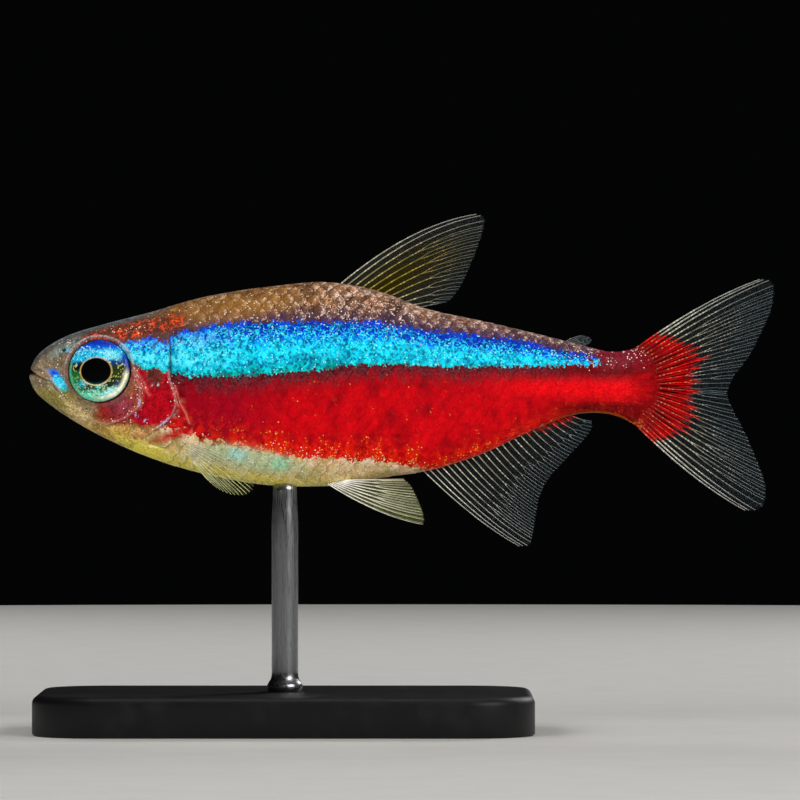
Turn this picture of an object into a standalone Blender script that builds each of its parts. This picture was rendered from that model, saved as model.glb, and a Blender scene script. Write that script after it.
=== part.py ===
"""A cardinal tetra at life size, held level over a small display stand.

The fish faces -X and lies along X, as long as FISH_LENGTH. Places on it are written as
fish measurements usually are, in percent of its total length: x back from the tip of the
snout, z up from the axis of the body. Thicknesses, gaps and the stand are millimetres.
"""

import math

import bmesh
import bpy
import numpy as np
from mathutils import Matrix

MM = 0.001

# Driving sizes, in millimetres.
FISH_LENGTH = 45.0
AXIS_HEIGHT = 21.2
GAP = 0.3
FIN_MEMBRANE = 0.5
FIN_RAY_RIDGE = 0.2
FIN_TIP = 0.26
STAND_X = -7.1
STAND_LENGTH = 30.0
STAND_WIDTH = 18.0
STAND_THICKNESS = 2.4
STAND_CORNER = 4.0
STAND_BEVEL = 0.5
STAND_ROUNDING = 6
ROD_RADIUS = 0.8
ROD_SIDES = 24
CUTTER_REACH = 12.0

UNIT = FISH_LENGTH / 100.0

# Outline of the body without its fins: x, back, belly, half width, in percent of the length.
BODY_STATIONS = np.array(
    [
        (0.0, 0.9, 0.3, 0.0),
        (0.81, 3.2, -1.75, 1.75),
        (2.95, 5.0, -3.6, 2.95),
        (6.0, 6.45, -5.65, 3.95),
        (10.1, 7.65, -7.9, 4.8),
        (16.1, 9.2, -10.5, 5.6),
        (24.2, 11.35, -12.85, 6.25),
        (32.2, 12.6, -14.15, 6.35),
        (40.3, 13.15, -14.2, 6.0),
        (44.3, 12.6, -13.65, 5.65),
        (48.5, 11.4, -12.95, 5.15),
        (52.3, 9.9, -12.4, 4.7),
        (60.4, 8.05, -10.1, 3.65),
        (68.5, 6.15, -6.4, 2.6),
        (73.8, 4.8, -4.6, 2.0),
        (78.5, 3.85, -4.85, 1.65),
        (82.2, 4.6, -6.6, 1.15),
    ]
)
FLESH_END = 82.2
TAIL_BULGE = 2.4
WIDEST_SHARE = 0.53
SNOUT_SQUARENESS = 2.1
CHEEK_SQUARENESS = 2.6
BACK_SQUARENESS = 2.25
BELLY_SQUARENESS = 2.05
HEAD_LENGTH = 20.0

# Rings of the body: close on the snout and the head, wider apart behind.
SNOUT_RINGS = 11
SNOUT_END = 4.8
HEAD_RING_STEP = 1.05
BODY_RING_STEP = 2.05
RING_POINTS = 36

# The mouth runs from the front of the snout to its corner, and the line of the lower jaw goes
# on from there, down and back along the upper jaw bone to the chin.
MOUTH_LINE = [(-2.5, 1.35), (0.5, 0.95), (1.5, 0.4), (2.4, -0.2)]
JAW_LINE = MOUTH_LINE + [(3.5, -1.6), (4.4, -2.9), (5.4, -4.6), (6.4, -7.6)]
LIP_SWELL = 0.2
LIP_REACH = 0.24
LIP_END = 2.3

# The edge between head and trunk follows the rear of the gill opening and runs forward
# under the throat.
GILL_OPENING = [
    (17.6, 13.0),
    (18.2, 9.4),
    (18.8, 6.7),
    (19.0, 4.0),
    (19.2, 1.3),
    (19.9, -1.1),
    (20.2, -2.7),
    (19.9, -4.3),
    (18.9, -5.5),
    (17.4, -6.6),
    (15.7, -7.5),
    (14.2, -8.6),
    (13.4, -9.8),
    (12.8, -12.5),
]
GILL_COVER_FRONT = [
    (17.8, 5.9),
    (16.4, 5.1),
    (15.7, 3.3),
    (15.6, 1.1),
    (15.6, -1.1),
    (15.1, -3.3),
    (14.2, -5.0),
    (13.7, -6.7),
]
GILL_COVER_REAR = GILL_OPENING[11:2:-1]
GILL_COVER_INNER = 1.85
GILL_COVER_RISE = 0.12
CURVE_STEPS = 3

TAIL_CUT = 75.6

# The eye: a flattened ball that looks out, a little forward and a little up.
EYE_X, EYE_Z = 9.37, 1.2
EYE_RADIUS = 1.86
EYE_DOME = 0.5
EYE_DEPTH = 1.1
EYE_SIDE = 1.92
EYE_YAW = math.radians(10)
EYE_PITCH = math.radians(6)
EYE_RIM_RISE = 0.1
EYE_RIM_REACH = 0.3
EYE_COLUMNS = 26
EYE_ROWS = 9

NOSTRIL_X, NOSTRIL_Z = 4.3, 3.0
NOSTRIL_RADIUS = 0.2
NOSTRIL_SIDES, NOSTRIL_ROWS = 10, 6

# Each fin has rays that run from its base to its edge. The tips are places along that edge,
# from the first ray to the last, and the bows say how far the first and last ray curve, as a
# share of their length. Rows are the steps along a ray.
RAY_BEND_AT = 0.6
DORSAL_FIN = {
    "base": (42.1, 52.0),
    "tips": [
        (60.4, 22.3),
        (61.3, 21.7),
        (60.7, 19.1),
        (59.3, 16.1),
        (58.3, 13.6),
        (57.2, 11.6),
        (56.2, 10.4),
        (54.6, 10.2),
    ],
    "bows": (0.07, 0.0),
    "rays": 11,
    "rows": 9,
}
ADIPOSE_FIN = {
    "base": (71.9, 73.6),
    "tips": [(74.1, 6.0), (74.9, 5.85), (75.4, 5.4), (75.1, 4.9), (74.6, 4.8)],
    "bows": (0.06, 0.0),
    "rays": 4,
    "rows": 5,
}
ANAL_FIN = {
    "base": (52.6, 74.3),
    "tips": [
        (65.9, -22.4),
        (67.1, -22.2),
        (67.6, -20.9),
        (68.1, -17.7),
        (68.5, -15.6),
        (69.7, -13.2),
        (71.9, -10.7),
        (74.1, -8.3),
        (75.4, -6.5),
        (75.4, -5.5),
    ],
    "bows": (-0.03, -0.02),
    "rays": 20,
    "rows": 8,
}
CAUDAL_FORK = (93.6, -1.8)
CAUDAL_UPPER = {
    "tips": [
        (98.4, 13.6),
        (99.7, 13.3),
        (100.0, 12.3),
        (99.9, 10.6),
        (99.4, 8.8),
        (98.4, 6.6),
        (96.6, 3.2),
        (94.5, 0.4),
    ],
    "bows": (0.034, 0.0),
    "rays": 10,
    "rows": 10,
}
CAUDAL_LOWER = {
    "tips": [
        (96.4, -17.6),
        (98.0, -17.5),
        (98.7, -16.4),
        (98.9, -14.6),
        (98.4, -12.6),
        (97.2, -9.6),
        (95.8, -6.5),
        (94.3, -3.7),
    ],
    "bows": (-0.034, 0.0),
    "rays": 9,
    "rows": 10,
}
PELVIC_FIN = {
    "root": [(40.0, -13.9), (42.4, -13.4)],
    "tips": [
        (52.9, -19.3),
        (53.0, -18.5),
        (52.6, -17.1),
        (52.0, -15.7),
        (51.2, -14.2),
        (50.3, -13.3),
    ],
    "bows": (-0.05, 0.0),
    "rays": 8,
    "rows": 7,
}
PELVIC_SPREAD = (0.75, 2.1)
PECTORAL_FIN = {
    "root": [(20.9, -8.3), (21.4, -10.0)],
    "tips": [
        (28.3, -11.4),
        (29.4, -13.0),
        (29.9, -14.4),
        (29.5, -15.2),
        (28.2, -15.4),
        (26.7, -15.1),
        (25.2, -14.3),
        (24.0, -13.2),
    ],
    "bows": (0.06, -0.02),
    "rays": 10,
    "rows": 7,
}
PECTORAL_FLARE = 1.5
PECTORAL_CLEARANCE = 0.3

SHARP_ANGLE = math.radians(40)

# Linear colours.
HEAD_BROWN = (0.33, 0.16, 0.09)
GILL_RED = (0.45, 0.05, 0.04)
FLANK_RED = (0.55, 0.01, 0.02)
IRIS_BLUE = (0.02, 0.42, 0.5)
FIN_GREY = (0.55, 0.52, 0.4)
STAND_BLACK = (0.03, 0.03, 0.033)
ROD_STEEL = (0.62, 0.62, 0.64)


def clear_scene():
    for obj in list(bpy.data.objects):
        bpy.data.objects.remove(obj, do_unlink=True)


def spline(at, knots, values):
    """A smooth curve through (knots, values), read at the places in at."""
    knots, values = np.asarray(knots, float), np.asarray(values, float)
    slope = np.gradient(values, knots, axis=0)
    at = np.clip(np.asarray(at, float), knots[0], knots[-1])
    i = np.clip(np.searchsorted(knots, at, side="right") - 1, 0, len(knots) - 2)
    span = knots[i + 1] - knots[i]
    t = (at - knots[i]) / span
    if values.ndim > 1:
        t, span = t[..., None], span[..., None]
    return (
        (2 * t**3 - 3 * t**2 + 1) * values[i]
        + (t**3 - 2 * t**2 + t) * span * slope[i]
        + (3 * t**2 - 2 * t**3) * values[i + 1]
        + (t**3 - t**2) * span * slope[i + 1]
    )


def outline(x):
    """Back, belly and half width at x. Reading along the root of x rounds the snout."""
    knots = np.sqrt(BODY_STATIONS[:, 0])
    found = spline(np.sqrt(np.maximum(x, 0)), knots, BODY_STATIONS[:, 1:])
    return found[..., 0], found[..., 1], np.maximum(found[..., 2], 0)


def squareness(x, below):
    """Exponent of the section's outline: boxiest at the cheeks, rounder along the belly."""
    front = np.clip(x / EYE_X, 0, 1)
    cheek = SNOUT_SQUARENESS + (CHEEK_SQUARENESS - SNOUT_SQUARENESS) * front
    blend = np.clip((x - EYE_X) / (HEAD_LENGTH - EYE_X), 0, 1)
    behind = np.where(below, BELLY_SQUARENESS, BACK_SQUARENESS)
    return cheek * (1 - blend) + behind * blend


def section(x, angle):
    """Side (y) and height (z) of the skin at x, with the angle turning from the back down."""
    back, belly, half = outline(x)
    middle = belly + WIDEST_SHARE * (back - belly)
    up = np.cos(angle)
    reach = np.where(up >= 0, back - middle, middle - belly)
    power = 2 / squareness(x, up < 0)
    side = half * np.sign(np.sin(angle)) * np.abs(np.sin(angle)) ** power
    return side, middle + reach * np.sign(up) * np.abs(up) ** power


def side_at(x, z):
    """Half width of the body at x and height z."""
    back, belly, half = outline(x)
    middle = belly + WIDEST_SHARE * (back - belly)
    reach = np.where(z >= middle, back - middle, middle - belly)
    off = np.clip(np.abs(z - middle) / np.maximum(reach, 1e-6), 0, 1)
    power = squareness(x, z < middle)
    return half * (1 - off**power) ** (1 / power)


def distance_to(points, line):
    """Distance of each point from a polyline in the XZ plane."""
    best = np.full(len(points), np.inf)
    for a, b in zip(np.array(line[:-1]), np.array(line[1:]), strict=True):
        along = b - a
        t = np.clip((points - a) @ along / (along @ along), 0, 1)
        best = np.minimum(best, np.linalg.norm(points - a - t[:, None] * along, axis=1))
    return best


def place(points):
    """Points in percent of the length, turned to metres in the part's frame."""
    points = np.asarray(points, float).copy()
    points[:, 0] -= 50.0
    points *= UNIT * MM
    points[:, 2] += AXIS_HEIGHT * MM
    return points


def body_points(swell=0.0):
    """Rings of points over the whole body, in percent, swollen sideways by swell millimetres."""
    snout = SNOUT_END * (np.arange(1, SNOUT_RINGS + 1) / SNOUT_RINGS) ** 2
    head = np.arange(SNOUT_END + HEAD_RING_STEP, HEAD_LENGTH, HEAD_RING_STEP)
    count = math.ceil((FLESH_END - head[-1]) / BODY_RING_STEP)
    rest = np.linspace(head[-1], FLESH_END, count + 1)[1:]
    stations = np.concatenate([snout, head, rest])
    angle = np.linspace(0, 2 * math.pi, RING_POINTS, endpoint=False)
    x, turn = np.meshgrid(stations, angle, indexing="ij")
    side, height = section(x, turn)
    back, belly, _ = outline(x)
    level = (height - belly) / (back - belly) * 2 - 1
    tail = np.clip((x - TAIL_CUT) / (FLESH_END - TAIL_CUT), 0, 1) ** 2
    x = x + TAIL_BULGE * tail * (1 - level**2)
    grid = np.stack([x, side, height], axis=-1)
    flat = grid.reshape(-1, 3)
    rise = swell + face_relief(flat)
    out = np.stack([np.zeros(len(flat)), np.sin(turn).ravel(), np.cos(turn).ravel()], 1)
    flat = flat + out * (rise / UNIT)[:, None]
    return flat.reshape(grid.shape)


def face_relief(points):
    """How far lips and eye rims stand proud of the plain body, in millimetres."""
    flat = points[:, [0, 2]]
    near = distance_to(flat, MOUTH_LINE) * UNIT / LIP_REACH
    lips = LIP_SWELL * np.exp(-(near**2)) * np.clip(3 * (1 - flat[:, 0] / LIP_END), 0, 1)
    ring = np.linalg.norm(flat - (EYE_X, EYE_Z), axis=1) * UNIT - EYE_RADIUS - GAP
    rim = EYE_RIM_RISE * np.exp(-((ring / EYE_RIM_REACH) ** 2))
    return lips + rim


def new_object(name, mesh):
    obj = bpy.data.objects.new(name, mesh)
    bpy.context.scene.collection.objects.link(obj)
    return obj


def bmesh_object(name, work):
    """Turns a bmesh into an object, its faces pointing out."""
    bmesh.ops.recalc_face_normals(work, faces=work.faces)
    mesh = bpy.data.meshes.new(name)
    work.to_mesh(mesh)
    work.free()
    return new_object(name, mesh)


def mesh_object(name, vertices, faces):
    mesh = bpy.data.meshes.new(name)
    mesh.from_pydata(np.asarray(vertices).tolist(), [], faces)
    work = bmesh.new()
    work.from_mesh(mesh)
    bpy.data.meshes.remove(mesh)
    return bmesh_object(name, work)


def body_object(name, swell=0.0):
    """The whole body as one closed surface: rings, a snout tip and a rear cap."""
    rings = body_points(swell)
    count, around = rings.shape[:2]
    tip = np.array([[BODY_STATIONS[0, 0], 0, BODY_STATIONS[0, 1:3].mean()]])
    rear = rings[-1].mean(axis=0, keepdims=True)
    rear[0, 0] = rings[-1, :, 0].max()
    vertices = place(np.concatenate([rings.reshape(-1, 3), tip, rear]))
    faces = []
    for j in range(around):
        k = (j + 1) % around
        faces.append((count * around, j, k))
        last = (count - 1) * around
        faces.append((count * around + 1, last + k, last + j))
        for i in range(count - 1):
            a, b = i * around, (i + 1) * around
            faces.append((a + j, b + j, b + k, a + k))
    return mesh_object(name, vertices, faces)


def smooth_line(points, closed=False):
    """More points along a line of points, on a smooth curve through them."""
    points = [tuple(p) for p in points]
    if closed:
        points = points[-3:] + points + points[:3]
    knots = np.arange(len(points), dtype=float)
    at = np.linspace(0, len(points) - 1, (len(points) - 1) * CURVE_STEPS + 1)
    if closed:
        at = at[(at >= 3) & (at < len(points) - 3)]
    return spline(at, knots, points)


def moved_line(line, by, closed=False):
    """The line shifted sideways by a distance in millimetres, to its right when positive."""
    if closed:
        ahead, behind = np.roll(line, -1, axis=0), np.roll(line, 1, axis=0)
        along = ahead - behind
    else:
        along = np.gradient(line, axis=0)
    along /= np.linalg.norm(along, axis=1, keepdims=True)
    return line + np.stack([along[:, 1], -along[:, 0]], axis=1) * by / UNIT


def prism(name, loop, low, high):
    """A closed outline in percent in the XZ plane, filled from y = low to high millimetres."""
    count = len(loop)
    flat = np.concatenate([loop, loop])
    side = np.repeat([low, high], count) / UNIT
    vertices = place(np.stack([flat[:, 0], side, flat[:, 1]], axis=1))
    faces = [tuple(range(count)), tuple(range(2 * count - 1, count - 1, -1))]
    for i in range(count):
        j = (i + 1) % count
        faces.append((i, j, j + count, i + count))
    return mesh_object(name, vertices, faces)


def boolean(obj, other, operation):
    """Cuts or limits obj by other, which is then removed."""
    modifier = obj.modifiers.new("Boolean", "BOOLEAN")
    modifier.operation = operation
    modifier.object = other
    graph = bpy.context.evaluated_depsgraph_get()
    made = bpy.data.meshes.new_from_object(obj.evaluated_get(graph))
    obj.modifiers.clear()
    obj.data = made
    bpy.data.objects.remove(other, do_unlink=True)


def largest_piece(obj):
    """Keeps only the largest closed surface of obj."""
    work = bmesh.new()
    work.from_mesh(obj.data)
    bmesh.ops.remove_doubles(work, verts=work.verts, dist=1e-7)
    left = set(work.verts)
    groups = []
    while left:
        group, edge = set(), [next(iter(left))]
        while edge:
            vertex = edge.pop()
            if vertex in group:
                continue
            group.add(vertex)
            edge.extend(e.other_vert(vertex) for e in vertex.link_edges)
        groups.append(group)
        left -= group
    groups.sort(key=len)
    loose = [v for group in groups[:-1] for v in group]
    bmesh.ops.delete(work, geom=loose, context="VERTS")
    bmesh.ops.triangulate(work, faces=work.faces)
    work.to_mesh(obj.data)
    work.free()


def jaw_region(name, shift, reach):
    """Everything below the jaw line, shifted by a distance in millimetres."""
    line = moved_line(smooth_line(JAW_LINE), shift)
    corners = np.array([(line[-1, 0], -14.0), (-4.0, -14.0)])
    return prism(name, np.concatenate([line, corners]), -reach, reach)


def front_region(name, shift, reach):
    """Everything in front of the gill opening, shifted by a distance in millimetres."""
    line = moved_line(smooth_line(GILL_OPENING), shift)
    corners = np.array([(-5.0, line[-1, 1]), (-5.0, line[0, 1])])
    return prism(name, np.concatenate([line, corners]), -reach, reach)


def slab(name, start, end):
    """Everything between two places along the body."""
    loop = np.array([(start, -25.0), (end, -25.0), (end, 25.0), (start, 25.0)])
    return prism(name, loop, -CUTTER_REACH, CUTTER_REACH)


def gill_region(name, side, inner, grow):
    """The gill cover's outline grown by some millimetres, from y = inner outwards."""
    outline_points = GILL_COVER_FRONT + GILL_COVER_REAR
    loop = moved_line(smooth_line(outline_points, closed=True), grow, closed=True)
    low, high = sorted((side * inner, side * CUTTER_REACH))
    return prism(name, loop, low, high)


def eye_object(name, side, grow=0.0):
    """A flattened ball, domed outwards and deep inwards, turned to look along the fish."""
    work = bmesh.new()
    bmesh.ops.create_uvsphere(
        work,
        u_segments=EYE_COLUMNS,
        v_segments=EYE_ROWS,
        radius=1.0,
        matrix=Matrix.Rotation(math.pi / 2, 3, "X").to_4x4(),
    )
    for vertex in work.verts:
        outwards = vertex.co.y * side > 0
        vertex.co.x *= (EYE_RADIUS + grow) * MM
        vertex.co.y *= ((EYE_DOME if outwards else EYE_DEPTH) + grow) * MM
        vertex.co.z *= (EYE_RADIUS + grow) * MM
    eye = bmesh_object(name, work)
    eye.location = place([(EYE_X, side * EYE_SIDE / UNIT, EYE_Z)])[0]
    eye.rotation_euler = (side * EYE_PITCH, 0, side * EYE_YAW)
    return eye


def nostril_cutter(side):
    """A small ball at the nostril, half sunk in the snout."""
    work = bmesh.new()
    bmesh.ops.create_uvsphere(
        work,
        u_segments=NOSTRIL_SIDES,
        v_segments=NOSTRIL_ROWS,
        radius=NOSTRIL_RADIUS * MM,
    )
    ball = bmesh_object("nostril", work)
    skin = side_at(np.array(NOSTRIL_X), np.array(NOSTRIL_Z))
    ball.location = place([(NOSTRIL_X, side * skin, NOSTRIL_Z)])[0]
    return ball


def build_head():
    head = body_object("head")
    boolean(head, front_region("front", GAP / 2, CUTTER_REACH), "INTERSECT")
    boolean(head, jaw_region("below_mouth", -GAP / 2, CUTTER_REACH), "DIFFERENCE")
    for side in (-1, 1):
        boolean(head, gill_region("recess", side, GILL_COVER_INNER - GAP, GAP), "DIFFERENCE")
        boolean(head, eye_object("socket", side, GAP), "DIFFERENCE")
        boolean(head, nostril_cutter(side), "DIFFERENCE")
    return head


def build_jaw():
    jaw = body_object("lower_jaw")
    boolean(jaw, jaw_region("below_mouth", GAP / 2, CUTTER_REACH), "INTERSECT")
    return jaw


def build_gill_cover(name, side):
    cover = body_object(name, GILL_COVER_RISE)
    boolean(cover, gill_region("outline", side, GILL_COVER_INNER, 0.0), "INTERSECT")
    boolean(cover, front_region("front", GAP / 2, CUTTER_REACH), "INTERSECT")
    return cover


def build_trunk():
    trunk = body_object("trunk")
    boolean(trunk, slab("flank", 0.0, TAIL_CUT), "INTERSECT")
    boolean(trunk, front_region("front", -GAP / 2, CUTTER_REACH), "DIFFERENCE")
    return trunk


def build_tail_stalk():
    stalk = body_object("tail_stalk")
    boolean(stalk, slab("stalk", TAIL_CUT + GAP / UNIT, 100.0), "INTERSECT")
    return stalk


def along_line(points, share):
    """Points at equal shares of the length of a smooth line."""
    line = smooth_line(points)
    steps = np.linalg.norm(np.diff(line, axis=0), axis=1)
    length = np.concatenate([[0], np.cumsum(steps)])
    return np.stack(
        [np.interp(share * length[-1], length, line[:, k]) for k in range(line.shape[1])],
        axis=1,
    )


def fin_grid(root, fin):
    """Points of a fin in the XZ plane: a column for each ray and one midway between two.

    A ray is a curve from the root to the line of tips, drawn aside at its middle by the bow.
    """
    columns, rows = 2 * fin["rays"] - 1, fin["rows"]
    share = np.linspace(0, 1, columns)
    start, end = root(share), along_line(fin["tips"], share)
    chord = end - start
    normal = np.stack([-chord[:, 1], chord[:, 0]], axis=1)
    bow = np.linspace(*fin["bows"], columns)[:, None]
    middle = start + RAY_BEND_AT * chord + normal * bow * 2
    t = np.linspace(0, 1, rows)[None, :, None]
    curve = (1 - t) ** 2 * start[:, None] + 2 * t * (1 - t) * middle[:, None]
    return curve + t**2 * end[:, None]


def fin_half_thickness(columns, rows, ridge):
    """Half the fin's thickness in millimetres, with a ridge on every other column."""
    on_ray = (np.arange(columns) % 2 == 0)[:, None] * ridge / 2
    out = np.linspace(0, 1, rows)[None, :]
    web = FIN_TIP + (FIN_MEMBRANE - FIN_TIP) * (1 - out**3)
    return web / 2 + on_ray * (1 - out**4)


def fin_solid(name, grid, sides, out, ridge=FIN_RAY_RIDGE):
    """A fin as one closed sheet: its grid, moved both ways along the direction out."""
    columns, rows = grid.shape[:2]
    middle = np.stack([grid[..., 0], sides, grid[..., 1]], axis=-1)
    half = fin_half_thickness(columns, rows, ridge)[..., None] / UNIT * np.array(out)
    faces_of = [(middle + half).reshape(-1, 3), (middle - half).reshape(-1, 3)]
    vertices = place(np.concatenate(faces_of))
    n = columns * rows
    faces = []
    for i in range(columns - 1):
        for j in range(rows - 1):
            a, b = i * rows + j, (i + 1) * rows + j
            faces += [(a, b, a + 1), (b, b + 1, a + 1)]
            faces += [(n + a, n + a + 1, n + b), (n + b, n + a + 1, n + b + 1)]
    rim = [i * rows for i in range(columns)]
    rim += [(columns - 1) * rows + j for j in range(1, rows)]
    rim += [i * rows + rows - 1 for i in range(columns - 2, -1, -1)]
    rim += [j for j in range(rows - 2, 0, -1)]
    for a, b in zip(rim, rim[1:] + rim[:1], strict=True):
        faces += [(a, b, n + b), (a, n + b, n + a)]
    return mesh_object(name, vertices, faces)


def off_body(side, x):
    """Height one gap above the back (side 1) or one gap below the belly (side -1)."""
    edge = outline(x)[0 if side > 0 else 1]
    return edge + side * GAP / UNIT


def build_mid_fin(name, side, fin, ridge=FIN_RAY_RIDGE):
    """A fin on the back or belly, its root one gap off the body and no part nearer."""
    first, last = fin["base"]

    def root(share):
        x = first + share * (last - first)
        return np.stack([x, off_body(side, x)], axis=1)

    grid = fin_grid(root, fin)
    limit = off_body(side, grid[..., 0])
    grid[..., 1] = side * np.maximum(side * grid[..., 1], side * limit)
    return fin_solid(name, grid, np.zeros(grid.shape[:2]), (0, 1, 0), ridge)


def build_caudal_lobe(name, side, fin):
    """The upper or lower half of the tail fin, half a gap from the line between the two.

    Its root follows the rear edge of the tail stalk from a corner to the middle ray.
    """
    back, belly, _ = outline(np.array(FLESH_END))
    half_gap = side * GAP / UNIT / 2

    def root(share):
        level = side * (1 - share)
        height = belly + (level + 1) / 2 * (back - belly) + share * half_gap
        edge = FLESH_END + TAIL_BULGE * (1 - level**2) + GAP / UNIT
        return np.stack([edge, height], axis=1)

    fork = (CAUDAL_FORK[0], CAUDAL_FORK[1] + half_gap)
    grid = fin_grid(root, {**fin, "tips": fin["tips"] + [fork]})
    return fin_solid(name, grid, np.zeros(grid.shape[:2]), (0, 1, 0))


def build_paired_fin(name, side, fin, sides):
    """A fin that leans out from the body: sides gives y for its grid, in percent."""

    def root(share):
        return along_line(fin["root"], share)

    grid = fin_grid(root, fin)
    lean = sides(grid, np.linspace(0, 1, fin["rows"])[None, :])
    flat = (grid[:, -1] - grid[:, 0]).mean(axis=0)
    along = np.array((flat[0], (lean[:, -1] - lean[:, 0]).mean(), flat[1]))
    out = np.cross(along, np.cross((0, 1, 0), along))
    out /= np.linalg.norm(out)
    return fin_solid(name, grid, side * lean, out * (1, side, 1))


def pelvic_sides(grid, t):
    """The pelvic fin leans out evenly from beside the keel to its edge."""
    lean = PELVIC_SPREAD[0] + (PELVIC_SPREAD[1] - PELVIC_SPREAD[0]) * t
    return np.broadcast_to(lean / UNIT, grid.shape[:2])


def pectoral_sides(grid, t):
    """The pectoral fin starts just off the skin and flares away from it."""
    skin = side_at(grid[:, :1, 0], grid[:, :1, 1])
    clear = (FIN_MEMBRANE + FIN_RAY_RIDGE) / 2 + PECTORAL_CLEARANCE
    return skin + (clear + PECTORAL_FLARE * t) / UNIT


def build_stand_base():
    """A flat plate with rounded corners and an eased top edge."""
    work = bmesh.new()
    bmesh.ops.create_cube(work, size=1.0)
    size = np.array((STAND_LENGTH, STAND_WIDTH, STAND_THICKNESS)) * MM
    bmesh.ops.scale(work, verts=work.verts, vec=size)
    upright = [e for e in work.edges if abs(e.verts[0].co.z - e.verts[1].co.z) > 0.5 * MM]
    bmesh.ops.bevel(
        work,
        geom=upright,
        offset=STAND_CORNER * MM,
        segments=STAND_ROUNDING,
        profile=0.5,
        affect="EDGES",
    )
    top = [e for e in work.edges if min(v.co.z for v in e.verts) > 0]
    bmesh.ops.bevel(
        work, geom=top, offset=STAND_BEVEL * MM, segments=2, profile=0.5, affect="EDGES"
    )
    base = bmesh_object("stand_base", work)
    base.location = (STAND_X * MM, 0, STAND_THICKNESS / 2 * MM)
    return base


def build_stand_rod():
    """A plain rod from the plate up to the belly, one gap short of both."""
    belly = float(outline(np.array(STAND_X / UNIT + 50.0))[1]) * UNIT + AXIS_HEIGHT
    low, high = STAND_THICKNESS + GAP, belly - GAP
    work = bmesh.new()
    bmesh.ops.create_cone(
        work,
        cap_ends=True,
        segments=ROD_SIDES,
        radius1=ROD_RADIUS * MM,
        radius2=ROD_RADIUS * MM,
        depth=(high - low) * MM,
    )
    rod = bmesh_object("stand_rod", work)
    rod.location = (STAND_X * MM, 0, (low + high) / 2 * MM)
    return rod


def finish(obj, colour, roughness, metallic=0.0, alpha=1.0):
    """Keeps obj's largest closed surface, shades it and gives it a material of its own."""
    largest_piece(obj)
    obj.data.shade_smooth()
    obj.data.set_sharp_from_angle(angle=SHARP_ANGLE)
    made = bpy.data.materials.new(obj.name)
    made.use_nodes = True
    shader = made.node_tree.nodes["Principled BSDF"]
    shader.inputs["Base Color"].default_value = (*colour, 1.0)
    shader.inputs["Roughness"].default_value = roughness
    shader.inputs["Metallic"].default_value = metallic
    shader.inputs["Alpha"].default_value = alpha
    obj.data.materials.clear()
    obj.data.materials.append(made)


def main():
    clear_scene()
    finish(build_head(), HEAD_BROWN, 0.4)
    finish(build_jaw(), HEAD_BROWN, 0.4)
    finish(build_trunk(), FLANK_RED, 0.35)
    finish(build_tail_stalk(), FLANK_RED, 0.35)
    # The fish faces -X, so its left side is towards -Y.
    for word, side in (("left", -1), ("right", 1)):
        finish(build_gill_cover("gill_cover_" + word, side), GILL_RED, 0.3)
        finish(eye_object("eye_" + word, side), IRIS_BLUE, 0.15)
        for pair, fin, sides in (
            ("pectoral_fin_", PECTORAL_FIN, pectoral_sides),
            ("pelvic_fin_", PELVIC_FIN, pelvic_sides),
        ):
            made = build_paired_fin(pair + word, side, fin, sides)
            finish(made, FIN_GREY, 0.4, alpha=0.6)
    for made in (
        build_mid_fin("dorsal_fin", 1, DORSAL_FIN),
        build_mid_fin("adipose_fin", 1, ADIPOSE_FIN, ridge=0.0),
        build_mid_fin("anal_fin", -1, ANAL_FIN),
        build_caudal_lobe("caudal_fin_upper", 1, CAUDAL_UPPER),
        build_caudal_lobe("caudal_fin_lower", -1, CAUDAL_LOWER),
    ):
        finish(made, FIN_GREY, 0.4, alpha=0.6)
    finish(build_stand_base(), STAND_BLACK, 0.5)
    finish(build_stand_rod(), ROD_STEEL, 0.3, metallic=1.0)


main()
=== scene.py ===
"""Looks of a life-size cardinal tetra held over a small display stand.

The fish faces -X. Places on it are in percent of its length, x back from the tip of the snout
and z up from the axis of the body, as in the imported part. Thicknesses are in millimetres.
"""

import functools
import math

import bmesh
import bpy
import numpy as np
from bpy.props import FloatProperty, FloatVectorProperty, IntProperty, PointerProperty
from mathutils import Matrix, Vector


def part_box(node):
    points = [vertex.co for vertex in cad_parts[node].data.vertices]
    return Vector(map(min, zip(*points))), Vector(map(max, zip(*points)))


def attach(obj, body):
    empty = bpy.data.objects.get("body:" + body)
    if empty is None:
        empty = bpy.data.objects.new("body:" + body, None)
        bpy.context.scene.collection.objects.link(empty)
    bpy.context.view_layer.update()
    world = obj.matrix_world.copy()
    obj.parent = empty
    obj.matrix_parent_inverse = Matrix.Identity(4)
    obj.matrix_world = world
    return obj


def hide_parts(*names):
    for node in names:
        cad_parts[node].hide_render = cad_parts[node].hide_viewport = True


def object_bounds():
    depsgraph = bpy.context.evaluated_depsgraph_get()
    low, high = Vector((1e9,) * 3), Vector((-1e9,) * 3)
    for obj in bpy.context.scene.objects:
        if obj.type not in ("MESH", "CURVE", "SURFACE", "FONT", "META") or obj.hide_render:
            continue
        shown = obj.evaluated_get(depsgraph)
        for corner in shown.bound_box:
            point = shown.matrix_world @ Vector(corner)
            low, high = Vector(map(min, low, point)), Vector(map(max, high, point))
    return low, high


bl_info = {
    "name": "Cardinal tetra",
    "version": (1, 0, 0),
    "blender": (4, 5, 0),
    "location": "3D View > Sidebar > Tetra",
    "description": "Builds the skin, scales, eyes, fins and stand of a cardinal tetra model",
    "category": "Object",
}

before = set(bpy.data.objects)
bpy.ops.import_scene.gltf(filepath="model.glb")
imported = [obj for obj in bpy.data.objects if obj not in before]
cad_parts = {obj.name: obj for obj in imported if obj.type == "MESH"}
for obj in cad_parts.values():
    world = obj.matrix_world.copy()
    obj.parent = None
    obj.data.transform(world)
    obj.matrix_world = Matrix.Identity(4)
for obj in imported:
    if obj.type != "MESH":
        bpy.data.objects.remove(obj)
cad_box = [list(corner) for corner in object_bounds()]

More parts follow.
